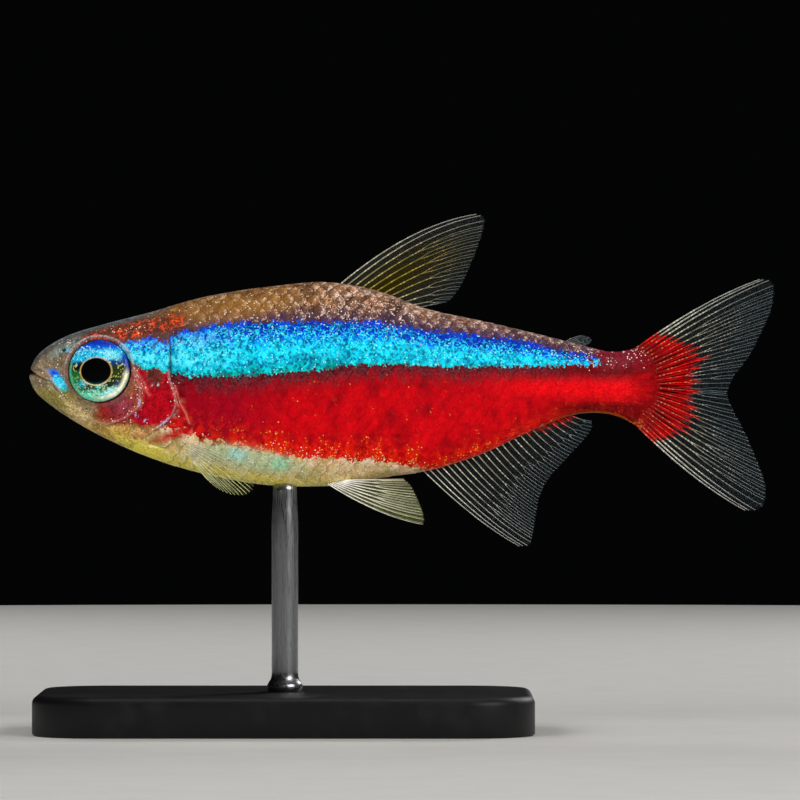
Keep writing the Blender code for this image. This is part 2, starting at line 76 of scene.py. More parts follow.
MM = 0.001
SEED = 20

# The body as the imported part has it: x, back, belly, half width, in percent of the length.
FISH_LENGTH = 45.0
UNIT = FISH_LENGTH / 100
AXIS_HEIGHT = 21.2
BODY_STATIONS = np.array([
    (0.0, 0.9, 0.3, 0.0), (0.81, 3.2, -1.75, 1.75), (2.95, 5.0, -3.6, 2.95),
    (6.0, 6.45, -5.65, 3.95), (10.1, 7.65, -7.9, 4.8), (16.1, 9.2, -10.5, 5.6),
    (24.2, 11.35, -12.85, 6.25), (32.2, 12.6, -14.15, 6.35), (40.3, 13.15, -14.2, 6.0),
    (44.3, 12.6, -13.65, 5.65), (48.5, 11.4, -12.95, 5.15), (52.3, 9.9, -12.4, 4.7),
    (60.4, 8.05, -10.1, 3.65), (68.5, 6.15, -6.4, 2.6), (73.8, 4.8, -4.6, 2.0),
    (78.5, 3.85, -4.85, 1.65), (82.2, 4.6, -6.6, 1.15),
])
FLESH_END = 82.2
TAIL_BULGE = 2.4
TAIL_CUT = 75.6
WIDEST_SHARE = 0.53
SNOUT_SQUARENESS = 2.1
CHEEK_SQUARENESS = 2.6
BACK_SQUARENESS = 2.25
BELLY_SQUARENESS = 2.05
HEAD_LENGTH = 20.0

# The flesh thins by this share of its width behind TAIL_CUT, so that the tail fin grows out of it
# with no step.
TAIL_THINNING = 0.85

# Rings of the skin: closest on the snout and head.
SNOUT_RINGS, SNOUT_END = 24, 3.0
HEAD_STEP, HEAD_END = 0.145, 21.6
BODY_RINGS = 150
RING_POINTS = 288
# How far its two closed ends lie beyond their rings, in percent.
SNOUT_TIP, TAIL_TIP = 0.02, 0.3

# Lines on the head, from front to rear.
MOUTH_LINE = np.array([(-2.5, 1.35), (0.5, 0.95), (1.5, 0.4), (2.4, -0.2)])
JAW_SIDE = np.array([(2.4, -0.2), (3.1, -1.1), (4.0, -1.9), (4.9, -2.8), (6.1, -3.7)])
LIP_SWELL, LIP_REACH, LIP_END = 0.2, 0.24, 2.3
MAXILLA = np.array([(1.2, 1.9), (2.3, 1.2), (3.0, 0.2), (4.2, -1.5)])
COVER_EDGE = np.array([
    (18.3, 8.6), (18.75, 6.2), (18.86, 4.0), (18.86, 1.5), (19.05, 0.0), (19.7, -1.7),
    (19.95, -2.9), (19.6, -4.3), (18.9, -5.4), (17.4, -6.6), (15.7, -7.6), (14.2, -8.7),
    (13.4, -9.8), (12.8, -12.5),
])
PREOPERCLE = np.array([
    (13.7, 3.2), (14.1, 1.5), (15.0, -1.2), (14.9, -3.4), (14.1, -4.2), (12.9, -5.1), (10.6, -5.9),
])
GIRDLE = np.array([(19.6, -0.7), (20.3, -3.1), (21.1, -4.4), (21.6, -6.0), (22.0, -7.4)])
NOSTRIL = (4.62, 4.15)

# The eye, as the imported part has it.
EYE_X, EYE_Z = 9.55, 1.2
EYE_RADIUS, EYE_DOME, EYE_DEPTH, EYE_SIDE = 1.89, 0.5, 1.1, 1.92
EYE_YAW, EYE_PITCH = math.radians(10), math.radians(6)
SOCKET_RADIUS, SOCKET_DEPTH, SOCKET_WALL = 1.93, 1.25, 0.3
# The skin's lines are drawn to a ring SOCKET_LIP inside the socket's radius, by the share
# SOCKET_PULL of their way close to it, falling off over SOCKET_REACH.
SOCKET_LIP, SOCKET_PULL, SOCKET_REACH = 0.03, 0.62, 0.5
EYE_RINGS, EYE_BACK_RINGS, EYE_SECTORS = 72, 20, 180
PUPIL_AT, PUPIL_SIZE = (-0.064, -0.029), (0.486, 0.422)
PUPIL_RING = 0.055
EYE_FLECKS = 28

# Edges of the neon stripe and of the red band.
STRIPE_TOP = np.array([
    (11.5, 4.9), (12.6, 5.1), (13.4, 5.25), (16.4, 5.75), (17.5, 5.35), (18.8, 5.0), (19.2, 6.15),
    (20.5, 6.3), (22.8, 6.7), (24.8, 7.4), (36.2, 7.8), (47.0, 7.8), (53.7, 6.7), (65.8, 5.3),
    (73.0, 3.6), (75.5, 3.4), (77.5, 4.6), (80.0, 7.0), (86.0, 9.5),
])
EMBER_LINE = np.array([(8.2, 5.2), (12.0, 6.3), (16.0, 7.2), (20.0, 7.9)])
STRIPE_LOW = np.array([
    (11.5, 4.2), (12.6, 3.75), (13.2, 3.2), (14.0, 2.15), (16.1, 1.2), (17.1, 1.75), (18.0, 1.1),
    (18.8, 0.95), (19.5, 0.8), (22.8, 0.4), (28.2, 0.55), (36.2, 1.05), (43.0, 1.9), (49.7, 2.15),
    (56.4, 1.75), (71.1, 1.9), (76.0, 1.9), (82.0, 2.4), (86.0, 4.0),
])
STRIPE_ENDS = (12.3, 74.9)
STRIPE_SPOT, STRIPE_SPOT_SIZE = (76.05, 2.2), 0.26
EMBER_WIDTH, EMBER_EDGE = 0.62, 0.35
# The red's lower edge stays this close to the belly, in percent.
KEEL_MARGIN = 0.3
RED_LOW = np.array([
    (12.0, -3.6), (14.8, -4.85), (16.1, -5.4), (22.3, -7.65), (26.9, -8.7), (30.9, -9.4),
    (36.2, -10.35), (41.6, -10.5), (47.0, -10.6), (52.4, -11.8), (56.0, -12.9), (60.0, -13.5),
])

# Scales: rows run along the body on both sides of the lateral line. Steps and heights are
# millimetres, at the two places of SCALE_SPAN.
LATERAL_LINE = np.array([(16.0, 1.6), (30.0, 0.2), (82.0, -0.9)])
SCALE_SPAN = (17, 82)
SCALE_STEP = (0.84, 0.66)
SCALE_HEIGHT = (1.42, 0.86)
SCALE_ROWS = 12
# A scale is this many steps long, and this share of its row's height to each side.
SCALE_REACH, SCALE_SIDE = 2.05, 0.6
# Its rear corners are cut back by SCALE_ROUND, and it lies flatter on the red by RED_FLATNESS.
SCALE_ROUND, SCALE_LIFT, RED_FLATNESS = 0.86, 0.95, 0.72
SCALE_JITTER = (0.85, 1.15)
# How far roots keep off the middle of the back and belly and off the gill cover.
MIDDLE_GAP, COVER_GAP = 0.1, -0.05
RIDGE_STEP, RIDGE_HEIGHT = 0.42, 0.9
RIDGE_BACK, RIDGE_BELLY = (17.0, 80.5), (23.0, 80.0)
COAT_START, COAT_END = 15.6, 81.0
SCALE_ALONG = np.array([0.0, 0.34, 0.6, 0.8, 0.94, 1.0])
SCALE_ACROSS = np.array([-1.0, -0.66, -0.24, 0.24, 0.66, 1.0])
SCALE_PATCH = 0.003
# The table that turns girth in millimetres into angles round the body. It runs past the middle
# by TABLE_OVERLAP, and looks for the lateral line TABLE_SIDE away from the middle.
TABLE_STATIONS, TABLE_ANGLES, TABLE_GIRTHS, TABLE_REACH = 240, 600, 480, 9.5
TABLE_OVERLAP, TABLE_SIDE = 0.5, 0.2

# Fins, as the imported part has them. Tips go from the first ray to the last, bows are how far the
# first and the last ray bend aside, plain is how many rays stay whole, and forks and radius are
# those of the others, from foot to tip.
RAY_BEND_AT = 0.6
DORSAL = dict(
    base=(41.4, 52.0), side=1, bows=(0.07, 0.03), pack=1.35, rays=12, plain=3, twigs=3,
    forks=(0.4, 0.66), radius=(0.042, 0.018),
    tips=[
        (60.2, 22.3), (61.2, 21.8), (61.0, 20.2), (60.2, 17.8), (59.2, 15.4), (58.2, 13.2),
        (57.2, 11.6), (56.0, 10.5), (54.6, 10.2),
    ],
)
ADIPOSE = dict(
    base=(71.5, 73.8), side=1, bows=(0.06, 0.0), pack=1.0, rays=8, plain=8, forks=(),
    radius=(0.012, 0.005),
    tips=[(74.1, 6.0), (74.9, 5.85), (75.4, 5.4), (75.1, 4.9), (74.6, 4.8)],
)
ANAL = dict(
    base=(52.6, 72.2), side=-1, bows=(-0.035, -0.05), pack=1.2, rays=25, plain=4, twigs=2,
    forks=(0.46, 1.1), radius=(0.034, 0.018),
    tips=[
        (65.9, -22.4), (67.1, -22.2), (67.6, -20.9), (68.1, -17.7), (68.5, -15.6), (69.7, -13.2),
        (71.9, -10.7), (74.1, -8.3), (75.4, -6.5), (75.4, -5.5),
    ],
)
CAUDAL_FORK = (93.6, -1.8)
CAUDAL = dict(pack=1.45, plain=4, twigs=3, forks=(0.36, 0.62), radius=(0.05, 0.02))
CAUDAL_UPPER = dict(
    **CAUDAL,
    side=1, bows=(0.036, 0.0), rays=14,
    tips=[
        (98.2, 13.6), (99.6, 13.4), (100.0, 12.4), (99.9, 10.6), (99.4, 8.8), (98.4, 6.6),
        (96.6, 3.2), (94.5, 0.4), CAUDAL_FORK,
    ],
)
CAUDAL_LOWER = dict(
    **CAUDAL,
    side=-1, bows=(-0.036, 0.0), rays=13,
    tips=[
        (96.2, -17.6), (97.9, -17.5), (98.7, -16.5), (98.9, -14.6), (98.4, -12.6), (97.2, -9.6),
        (95.8, -6.5), (94.3, -3.7), CAUDAL_FORK,
    ],
)
PELVIC = dict(
    root=[(40.0, -13.9), (42.4, -13.4)], bows=(-0.05, 0.0), pack=1.1, rays=9, plain=2, twigs=2,
    forks=(0.4, 1.1), radius=(0.04, 0.012), lean=(0.75, 2.1),
    tips=[(52.9, -19.3), (53.0, -18.5), (52.6, -17.1), (52.0, -15.7), (51.2, -14.2), (50.3, -13.3)],
)
PECTORAL = dict(
    root=[(20.9, -8.3), (21.4, -10.0)], bows=(0.06, -0.02), pack=1.0, rays=11, plain=2, twigs=2,
    forks=(0.5, 1.1), radius=(0.026, 0.011), flare=(0.65, 1.5),
    tips=[
        (28.3, -11.4), (29.4, -13.0), (29.9, -14.4), (29.5, -15.2), (28.2, -15.4), (26.7, -15.1),
        (25.2, -14.3), (24.0, -13.2),
    ],
)
ROOT_DEPTH = 0.18
# The tail's rays start over this share of the stalk's height, this deep in it in percent, and
# this share of their level away from the axis.
CAUDAL_SPREAD, CAUDAL_DEPTH, CAUDAL_LEVEL = 0.97, 1.3, 0.98
# The pectoral fin starts this deep in the skin and is clear of it at this share of its length.
PECTORAL_SINK, PECTORAL_CLEAR = 0.2, 0.25
# Places between each two corners of a curved line.
CURVE_STEPS = 12
RAY_STEPS, RAY_SIDES = 16, 6
WEB_COLUMNS, WEB_ROWS = 6, 26
# Between rays the web stops short by a share of its length, even and at random, and sags by
# millimetres. Its edge is thinner than its foot by the share WEB_THINNING.
WEB_NOTCH, WEB_RAGGED, WEB_SAG, WEB_THINNING = 0.014, 0.006, 0.03, 0.6
CAUDAL_RED = np.array([
    (82.6, 7.2), (85.8, 5.6), (89.3, 4.4), (90.2, 3.0), (89.7, 0.0), (89.5, -4.0), (89.0, -5.6),
    (87.0, -7.2), (83.0, -8.4),
])
JOINTS_PER_MM = 4.2
# Joints of neighbouring rays are out of step by this many millimetres across a fin.
JOINT_SHIFT = 7.3
FORK_RUN = 0.16
# Forks wander by these shares of a ray's length, and twigs start up to TWIG_LEAD before theirs.
# A half and a twig stand off to the side by these shares of the gap between rays, have these
# shares of the ray's thickness, and keep the share TAPER of it to their end.
FORK_WANDER, TWIG_WANDER, TWIG_LEAD = 0.07, 0.08, 0.12
HALF_ASIDE, TWIG_ASIDE = 0.25, 0.125
HALF_THICK, TWIG_THICK, TAPER = 0.6, 0.36, 0.68
# Rays run this share of the way to the edge of the web, so that the edge is smooth.
RAY_END = 0.982

# The stand's base: radius of its corners, of its eased top edge, and the chamfer below.
SLAB_CORNER, SLAB_EDGE, SLAB_CHAMFER, SLAB_BEND = 4.0, 0.5, 0.12, 13
# The stand's rod: how far it runs into the base and the belly, the swell of its foot and how
# far up that goes, and the share that it slims by at the belly.
PIN_REACH, PIN_FOOT, PIN_SWELL, PIN_SLIM = 0.6, 0.3, 0.35, 0.1
PIN_RINGS, PIN_SIDES = 40, 48

# The stage.
FLOOR_RADIUS, FLOOR_RIM, FLOOR_RINGS, FLOOR_BEND, FLOOR_SIDES = 250.0, 3.0, 11, 9, 160
LENS = 300.0
CAMERA_AT = (-0.000151, -0.4025, 0.020)

# Kinds of shader node, with their operation after a dot, and the material of skin and scales.
RISE, MIX, SHADE, TIMES = "MapRange.SMOOTHSTEP", "MixRGB.MIX", "MixRGB.MULTIPLY", "Math.MULTIPLY"
RANGE, RAMP, NOISE, SPLIT = "MapRange", "ValToRGB", "TexNoise", "SeparateXYZ"
NUDGE, LESS = "Math.MULTIPLY_ADD", "Math.SUBTRACT"
SKIN = "moist scaled skin"


def linear(code):
    """Linear red, green, blue and 1 from an sRGB hex colour."""
    parts = [int(code[i : i + 2], 16) / 255 for i in (0, 2, 4)]
    turned = [p / 12.92 if p <= 0.04045 else ((p + 0.055) / 1.055) ** 2.4 for p in parts]
    return (*turned, 1.0)


def colour(name, code, words):
    """A colour that a user may change, as a property."""
    return FloatVectorProperty(
        name=name, description=words, subtype="COLOR", size=4, min=0, max=1, default=linear(code)
    )


def length(name, value, words):
    """A thickness that a user may change, as a property in metres; value is millimetres."""
    return FloatProperty(
        name=name, description=words, default=value * MM, min=0, precision=6, unit="LENGTH"
    )


class TetraSizes(bpy.types.PropertyGroup):
    """Sizes of the skin, scales and fins."""

    coat: length("Coat depth", 0.05, "How deep the skin lies under the solid's surface")
    scale_thickness: length("Scale thickness", 0.018, "Thickness of a scale at its free edge")
    web: length("Fin web", 0.03, "Thickness of the clear skin between the fin rays")
    ray_growth: FloatProperty(
        name="Ray thickness", description="Share of the usual ray thickness", default=1.0, min=0.3
    )
    twigs: IntProperty(
        name="Ray ends", description="Ends that a branched ray splits into", default=4, min=1, max=4
    )


class TetraColours(bpy.types.PropertyGroup):
    """Colours of the skin, fins and stand."""

    red: colour("Red band", "CE010F", "The red of the lower flank")
    red_dark: colour("Red band, dark", "98020F", "The deeper patches of the red")
    neon: colour("Neon cyan", "06D2F4", "The middle of the neon stripe")
    neon_deep: colour("Neon blue", "0A48D8", "The upper edge of the neon stripe")
    neon_green: colour("Neon green", "06C0C0", "The lower edge of the neon stripe")
    back: colour("Back", "845638", "The brown of the back")
    back_dark: colour("Back, dark", "4A2E1E", "The darker patches of the back")
    belly: colour("Belly", "DAB274", "The cream of the belly")
    ray: colour("Fin rays", "4A565A", "The pale rays of the fins")
    web: colour("Fin web", "566064", "The dusky clear skin between the rays")
    acrylic: colour("Stand base", "0B0B0C", "The black acrylic base")
    steel: colour("Stand rod", "B4B5B8", "The brushed steel rod")


def smooth(t):
    """Eases from 0 to 1 as t goes from 0 to 1."""
    t = np.clip(t, 0, 1)
    return t * t * (3 - 2 * t)


def spline(at, knots, values):
    """A smooth curve through (knots, values), read at the places in at."""
    knots, values = np.asarray(knots, float), np.asarray(values, float)
    slope = np.gradient(values, knots, axis=0)
    at = np.clip(np.asarray(at, float), knots[0], knots[-1])
    i = np.clip(np.searchsorted(knots, at, side="right") - 1, 0, len(knots) - 2)
    span = knots[i + 1] - knots[i]
    t = (at - knots[i]) / span
    if values.ndim > 1:
        t, span = t[..., None], span[..., None]
    return (
        (2 * t**3 - 3 * t**2 + 1) * values[i]
        + (t**3 - 2 * t**2 + t) * span * slope[i]
        + (3 * t**2 - 2 * t**3) * values[i + 1]
        + (t**3 - t**2) * span * slope[i + 1]
    )


def outline(x):
    """Back, belly and half width at x. Reading along the root of x rounds the snout."""
    knots = np.sqrt(BODY_STATIONS[:, 0])
    found = spline(np.sqrt(np.maximum(x, 0)), knots, BODY_STATIONS[:, 1:])
    return found[..., 0], found[..., 1], np.maximum(found[..., 2], 0)


def squareness(x, below):
    """Exponent of the section's outline: boxiest at the cheeks, rounder along the belly."""
    front = np.clip(x / EYE_X, 0, 1)
    cheek = SNOUT_SQUARENESS + (CHEEK_SQUARENESS - SNOUT_SQUARENESS) * front
    blend = np.clip((x - EYE_X) / (HEAD_LENGTH - EYE_X), 0, 1)
    behind = np.where(below, BELLY_SQUARENESS, BACK_SQUARENESS)
    return cheek * (1 - blend) + behind * blend


def section(x, angle):
    """Side (y) and height (z) of the body at x: half an oval above its widest level, half below."""
    back, belly, half = outline(x)
    middle = belly + WIDEST_SHARE * (back - belly)
    up = np.cos(angle)
    reach = np.where(up >= 0, back - middle, middle - belly)
    power = 2 / squareness(x, up < 0)
    side = half * np.sign(np.sin(angle)) * np.abs(np.sin(angle)) ** power
    return side, middle + reach * np.sign(up) * np.abs(up) ** power


def side_at(x, z):
    """Half width of the body at x and height z."""
    back, belly, half = outline(x)
    middle = belly + WIDEST_SHARE * (back - belly)
    reach = np.where(z >= middle, back - middle, middle - belly)
    off = np.clip(np.abs(z - middle) / np.maximum(reach, 1e-6), 0, 1)
    power = squareness(x, z < middle)
    return half * (1 - off**power) ** (1 / power)


def flesh(x, turn):
    """Point of the body at x and at an angle from the back, with its rounded, thinned tail end."""
    side, height = section(x, turn)
    back, belly, _ = outline(x)
    level = (height - belly) / np.maximum(back - belly, 1e-6) * 2 - 1
    tail = np.clip((x - TAIL_CUT) / (FLESH_END - TAIL_CUT), 0, 1)
    rear = x + TAIL_BULGE * tail**2 * (1 - level**2)
    return np.stack([rear, side * (1 - TAIL_THINNING * smooth(tail)), height], axis=-1)


def facing(x, turn):
    """Unit normal of the body, from the cross product of short steps along it and round it."""
    step = 2e-3
    x = np.clip(x, 0.04, FLESH_END - step)
    along = flesh(x + step, turn) - flesh(x - step, turn)
    around = flesh(x, turn + step) - flesh(x, turn - step)
    out = np.cross(along, around)
    return out / np.maximum(np.linalg.norm(out, axis=-1, keepdims=True), 1e-12)


def distance_to(points, line):
    """Distance in millimetres of each (x, z) point from a line of places in percent."""
    best = np.full(len(points), np.inf)
    for a, b in zip(line[:-1], line[1:], strict=True):
        along = b - a
        t = np.clip((points - a) @ along / (along @ along), 0, 1)
        best = np.minimum(best, np.linalg.norm(points - a - t[:, None] * along, axis=1))
    return best * UNIT


def behind_edge(x, z):
    """How far a place lies behind the rear edge of the gill cover, in millimetres."""
    down = COVER_EDGE[::-1]
    edge = np.interp(z, down[:, 1], down[:, 0])
    slope = np.interp(z, down[:, 1], np.gradient(down[:, 0], down[:, 1]))
    return (x - edge) / np.sqrt(1 + slope**2) * UNIT


def place(points):
    """Points in percent of the length, turned to metres in the part's frame."""
    points = np.asarray(points, float) * UNIT
    points[..., 0] -= 50 * UNIT
    points[..., 2] += AXIS_HEIGHT
    return points * MM


def grid_faces(rows, columns, wrap=False):
    """Corners of the four-sided faces of a grid; wrap joins its last column to its first."""
    grid = np.arange(rows * columns).reshape(rows, columns)
    if wrap:
        grid = np.concatenate([grid, grid[:, :1]], axis=1)
    corners = [grid[:-1, :-1], grid[1:, :-1], grid[1:, 1:], grid[:-1, 1:]]
    return np.stack(corners, axis=-1).reshape(-1, 4)


def new_piece(name, points, faces, material, slot, marks=None, unwrap=None, flat=0, stands_for=()):
    """One finished mesh. faces is a list of arrays, each of faces with equally many corners.

    marks are values at its points, unwrap the places of the face corners on the OFBake map, and
    flat is how many of the last arrays of faces keep a hard edge.
    """
    mesh = bpy.data.meshes.new(name)
    if slot:
        points = np.clip(points, *cad_box)
    mesh.vertices.add(len(points))
    mesh.vertices.foreach_set("co", np.ascontiguousarray(points, np.float32).ravel())
    sizes = np.concatenate([np.full(len(f), f.shape[1]) for f in faces])
    corners = np.concatenate([f.ravel() for f in faces]).astype(np.int32)
    mesh.loops.add(len(corners))
    mesh.loops.foreach_set("vertex_index", corners)
    mesh.polygons.add(len(sizes))
    mesh.polygons.foreach_set("loop_start", (np.cumsum(sizes) - sizes).astype(np.int32))
    soft = np.ones(len(sizes), bool)
    if flat:
        soft[len(sizes) - sum(len(f) for f in faces[-flat:]) :] = False
    mesh.polygons.foreach_set("use_smooth", soft)
    mesh.update(calc_edges=True)
    if unwrap is not None:
        layer = mesh.uv_layers.new(name="OFBake")
        layer.uv.foreach_set("vector", np.ascontiguousarray(unwrap, np.float32).ravel())
    kinds = {1: ("FLOAT", "value"), 3: ("FLOAT_VECTOR", "vector"), 4: ("FLOAT_COLOR", "color")}
    for key, values in (marks or {}).items():
        width = 1 if values.ndim == 1 else values.shape[1]
        kind, field = kinds[width]
        attribute = mesh.attributes.new(key, kind, "POINT")
        attribute.data.foreach_set(field, np.ascontiguousarray(values, np.float32).ravel())
    mesh.materials.append(material)
    piece = bpy.data.objects.new(name, mesh)
    bpy.context.scene.collection.objects.link(piece)
    if slot:
        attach(piece, "root")
    if stands_for:
        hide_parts(*stands_for)
    return piece


def face_outwards(piece, merge=0.0):
    """Turns all faces outwards, after joining points closer than merge metres."""
    work = bmesh.new()
    work.from_mesh(piece.data)
    if merge:
        bmesh.ops.remove_doubles(work, verts=work.verts, dist=merge)
    bmesh.ops.recalc_face_normals(work, faces=work.faces)
    work.to_mesh(piece.data)
    work.free()


def node(tree, kind, *inputs, stops=None, **settings):
    """Adds a shader node with its settings and links.

    kind may carry the node's operation after a dot. inputs are values, nodes or sockets in the
    order of the node's own, or one dict that names them. A product or sum takes any number.
    """
    while kind in ("Math.MULTIPLY", "Math.ADD", "Math.MINIMUM") and len(inputs) > 2:
        inputs = (node(tree, kind, *inputs[:2]), *inputs[2:])
    kind, _, mode = kind.partition(".")
    made = tree.nodes.new("ShaderNode" + kind)
    if mode:
        field = {"MixRGB": "blend_type", "MapRange": "interpolation_type"}.get(kind, "operation")
        settings[field] = mode
    for key, value in settings.items():
        setattr(made, key, value)
    if stops:
        marks = made.color_ramp.elements
        for _ in range(len(stops) - 2):
            marks.new(0.5)
        for mark, (at, tint) in zip(marks, stops, strict=True):
            mark.position = at
            if isinstance(tint, float):
                tint = (tint, tint, tint, 1.0)
            mark.color = linear(tint) if isinstance(tint, str) else tuple(tint)
    named = inputs[0] if inputs and isinstance(inputs[0], dict) else dict(enumerate(inputs))
    for key, value in named.items():
        if isinstance(value, str):
            value = linear(value)
        if isinstance(value, float) and made.inputs[key].type == "RGBA":
            value = (value, value, value, 1.0)
        if isinstance(value, bpy.types.Node):
            value = value.outputs[0]
        if isinstance(value, bpy.types.NodeSocket):
            tree.links.new(value, made.inputs[key])
        else:
            made.inputs[key].default_value = value
    return made


def new_material(name):
    """An empty material, the function that adds its nodes, and the place on the piece in mm."""
    material = bpy.data.materials.new(name)
    material.use_nodes = True
    material.node_tree.nodes.clear()
    add = functools.partial(node, material.node_tree)
    mm = add("VectorMath.SCALE", {0: add("TexCoord").outputs["Object"], 3: 1 / MM})
    return material, add, mm


def skin_material(context):
    """Moist fish skin: thin slime over scales whose crystals glitter.

    It gives the eye clear colour with little gloss of its own, a stripe made of bright specks
    about 0.12 mm across, and pale glints behind the scale edges.
    """
    tints = context.scene.tetra_colours
    _, add, mm = new_material(SKIN)
    keys = ("marks", "plate", "stripe_end", "sparkle", "ember", "paint", "ink")
    marks, plate, ends, sparkle, ember, paint, ink = (
        add("Attribute", attribute_name=key).outputs for key in keys
    )
    below_top, above_low, above_red = add(SPLIT, marks[1]).outputs
    rim, chance, _ = add(SPLIT, plate[1]).outputs
    ends, sparkle, ember = ends[2], sparkle[2], ember[2]
    lengthwise = add(SPLIT, mm).outputs[0]

    # Blotches about 0.4 mm across, specks of 0.13 mm, and long soft patches of 1 mm.
    blotch = add(NOISE, {"Vector": mm, "Scale": 2.4, "Detail": 3.0, "Roughness": 0.62})
    grain = add(NOISE, {"Vector": mm, "Scale": 7.5, "Detail": 2.0, "Roughness": 0.6})
    cells = add("TexVoronoi", {"Vector": mm, "Scale": 7.0, "Randomness": 1.0})
    blots, grains, dots = (add(SPLIT, made.outputs["Color"]).outputs for made in (blotch, grain, cells))
    near = cells.outputs["Distance"]
    tall = add("Mapping", {0: mm, 3: (1.0, 0.8, 0.6)})
    patch = add(NOISE, {"Vector": tall, "Scale": 1.1, "Detail": 3.0, "Roughness": 0.5})

    # The edges of the markings, ragged by blotches and by specks, in millimetres.
    ragged = []
    for value, blot, speck, wide, narrow in (
        (below_top, blots[0], grains[0], 1.0, 0.9),
        (above_low, blots[1], grains[1], 0.6, 0.8),
        (above_red, blots[2], grains[2], 1.7, 1.1),
        (ends, blots[1], grains[2], 1.6, 0.8),
    ):
        moved = add(NUDGE, add(LESS, blot, 0.5), wide, value)
        ragged.append(add(NUDGE, add(LESS, speck, 0.5), narrow, moved))
    top, low, red_edge, ends = ragged

    # A scale is dark along its free edge, with a painted highlight behind it and painted shade
    # where the next covers it.
    stops = [(0.0, 0.3), (0.05, 0.5), (0.12, 1.1), (0.4, 1.08), (0.72, 0.72), (0.95, 1.0)]
    shade = add(RAMP, rim, stops=stops)

    # Red: deep and even, with soft patches, darker at the top and the front, warmer below.
    red = add(RAMP, patch, stops=[(0.28, tints.red_dark), (0.47, tints.red), (0.68, "E00410")])
    red = add(MIX, add(TIMES, add(RISE, low, -2.6, -0.3), 0.5), red, "84020E")
    red = add(MIX, add(TIMES, add(RISE, lengthwise, -6.0, -11.0), 0.8), red, "96021A")
    for swing in (
        (grains[0], 0.34, 0.66, 0.9, 1.08),
        (blots[0], 0.36, 0.64, 0.84, 1.1),
        (chance, 0.0, 1.0, 0.94, 1.05),
    ):
        red = add(SHADE, 1.0, red, add(RANGE, *swing))
    red = add(SHADE, 0.04, red, shade)
    warm = add(TIMES, add(RISE, red_edge, 1.8, 0.2), add(RISE, blots[0], 0.44, 0.6), 0.8)
    red = add(MIX, warm, red, "EA1E08")
    orange = add("Math.ADD", dots[1], add(TIMES, add(RISE, patch, 0.46, 0.62), 0.12))
    orange = add(TIMES, add(RISE, orange, 0.94, 0.98), add(RISE, near, 0.36, 0.12), 0.7)
    red = add(MIX, orange, red, "F83418")

    # Belly: cream with painted pearly glints behind the scale edges, olive along the keel.
    cream = add(RAMP, patch, stops=[(0.3, "B4A45C"), (0.5, tints.belly), (0.66, "F2D8A4")])
    cream = add(MIX, add(RISE, above_red, -0.8, -2.2), cream, "FCEC5C")
    for swing in ((grains[0], 0.34, 0.66, 0.8, 1.25), (chance, 0.0, 1.0, 0.9, 1.1)):
        cream = add(SHADE, 1.0, cream, add(RANGE, *swing))
    cream = add(SHADE, 0.3, cream, shade)
    lumps = add(TIMES, add(RISE, above_red, -0.9, -0.1), add(RISE, blots[0], 0.48, 0.6), 0.7)
    cream = add(MIX, lumps, cream, "FFE2CC")
    pearl_glint = add(TIMES, add(RISE, rim, 0.05, 0.12), add(RISE, rim, 0.4, 0.2))
    pearl_glint = add(TIMES, pearl_glint, add(RISE, grains[1], 0.5, 0.6), 0.7)
    cream = add(MIX, pearl_glint, cream, "FFF4DC")
    body = add(MIX, add(RISE, red_edge, -0.04, 0.05), cream, red)

    # The dusty fringe under the stripe fades into the red.
    upright = add(NOISE, {"Vector": add("Mapping", {0: mm, 3: (5.0, 2.0, 1.5)}), "Scale": 1.0})
    fringe = add(RISE, add(NUDGE, upright, 1.6, low), -0.5, 0.9)
    dusty = add(MIX, add(RISE, grains[1], 0.42, 0.62), "36101A", "5E343A")
    body = add(MIX, add(TIMES, fringe, 0.92), body, dusty)

    # Back: each scale has its own brown, with painted glints curling behind its edge, gold in front
    # and pinker behind.
    brown = add(RAMP, patch, stops=[(0.3, tints.back_dark), (0.5, tints.back), (0.68, "A8743E")])
    own = [(0.0, "50301E"), (0.4, "86583A"), (0.75, "A4682C"), (1.0, "A87C64")]
    brown = add(MIX, 0.5, brown, add(RAMP, chance, stops=own))
    brown = add(SHADE, 1.0, brown, add(TIMES, add(RANGE, grains[0], 0.34, 0.66, 0.6, 1.35), 0.8))
    brown = add(SHADE, add(RANGE, blots[1], 0.38, 0.6, 0.15, 0.85), brown, shade)
    worm, thread = (
        add(RISE, add("Math.ABSOLUTE", add(LESS, add(NOISE, curl), 0.5)), wide, 0.015)
        for curl, wide in (
            ({"Vector": mm, "Scale": 3.6, "Detail": 1.0, "Distortion": 0.7}, 0.075),
            ({"Vector": mm, "Scale": 6.5, "Detail": 1.0, "Distortion": 0.9}, 0.06),
        )
    )
    rearwards = add(RISE, lengthwise, -9.0, -2.0)
    brown = add(SHADE, 1.0, brown, add(RANGE, rearwards, 0.0, 1.0, 0.86, 0.72))
    crescent = add(TIMES, add(RISE, rim, 0.03, 0.1), add(RISE, rim, 0.62, 0.34))
    glint_curl_tint = add(MIX, rearwards, "B48440", "D89C7C")
    glint_curls = add(TIMES, worm, add(RANGE, crescent, 0.0, 1.0, 0.25, 0.9))
    brown = add(MIX, add(TIMES, glint_curls, add(RISE, patch, 0.36, 0.56)), brown, glint_curl_tint)
    shine = add(TIMES, thread, add(RISE, blots[0], 0.42, 0.58), add(RISE, patch, 0.34, 0.54))
    shine = add(TIMES, shine, add(RANGE, crescent, 0.0, 1.0, 0.2, 0.95))
    shine = add(TIMES, shine, add(RANGE, rearwards, 0.0, 1.0, 0.5, 1.0))
    brown = add(MIX, shine, brown, add(MIX, rearwards, "E8C898", "FFE8DC"))
    brown = add(MIX, add(TIMES, add(RISE, top, -1.3, 0.0), 0.8), brown, "38284A")
    is_back = add(RISE, top, 0.1, -0.14)
    body = add(MIX, is_back, body, brown)

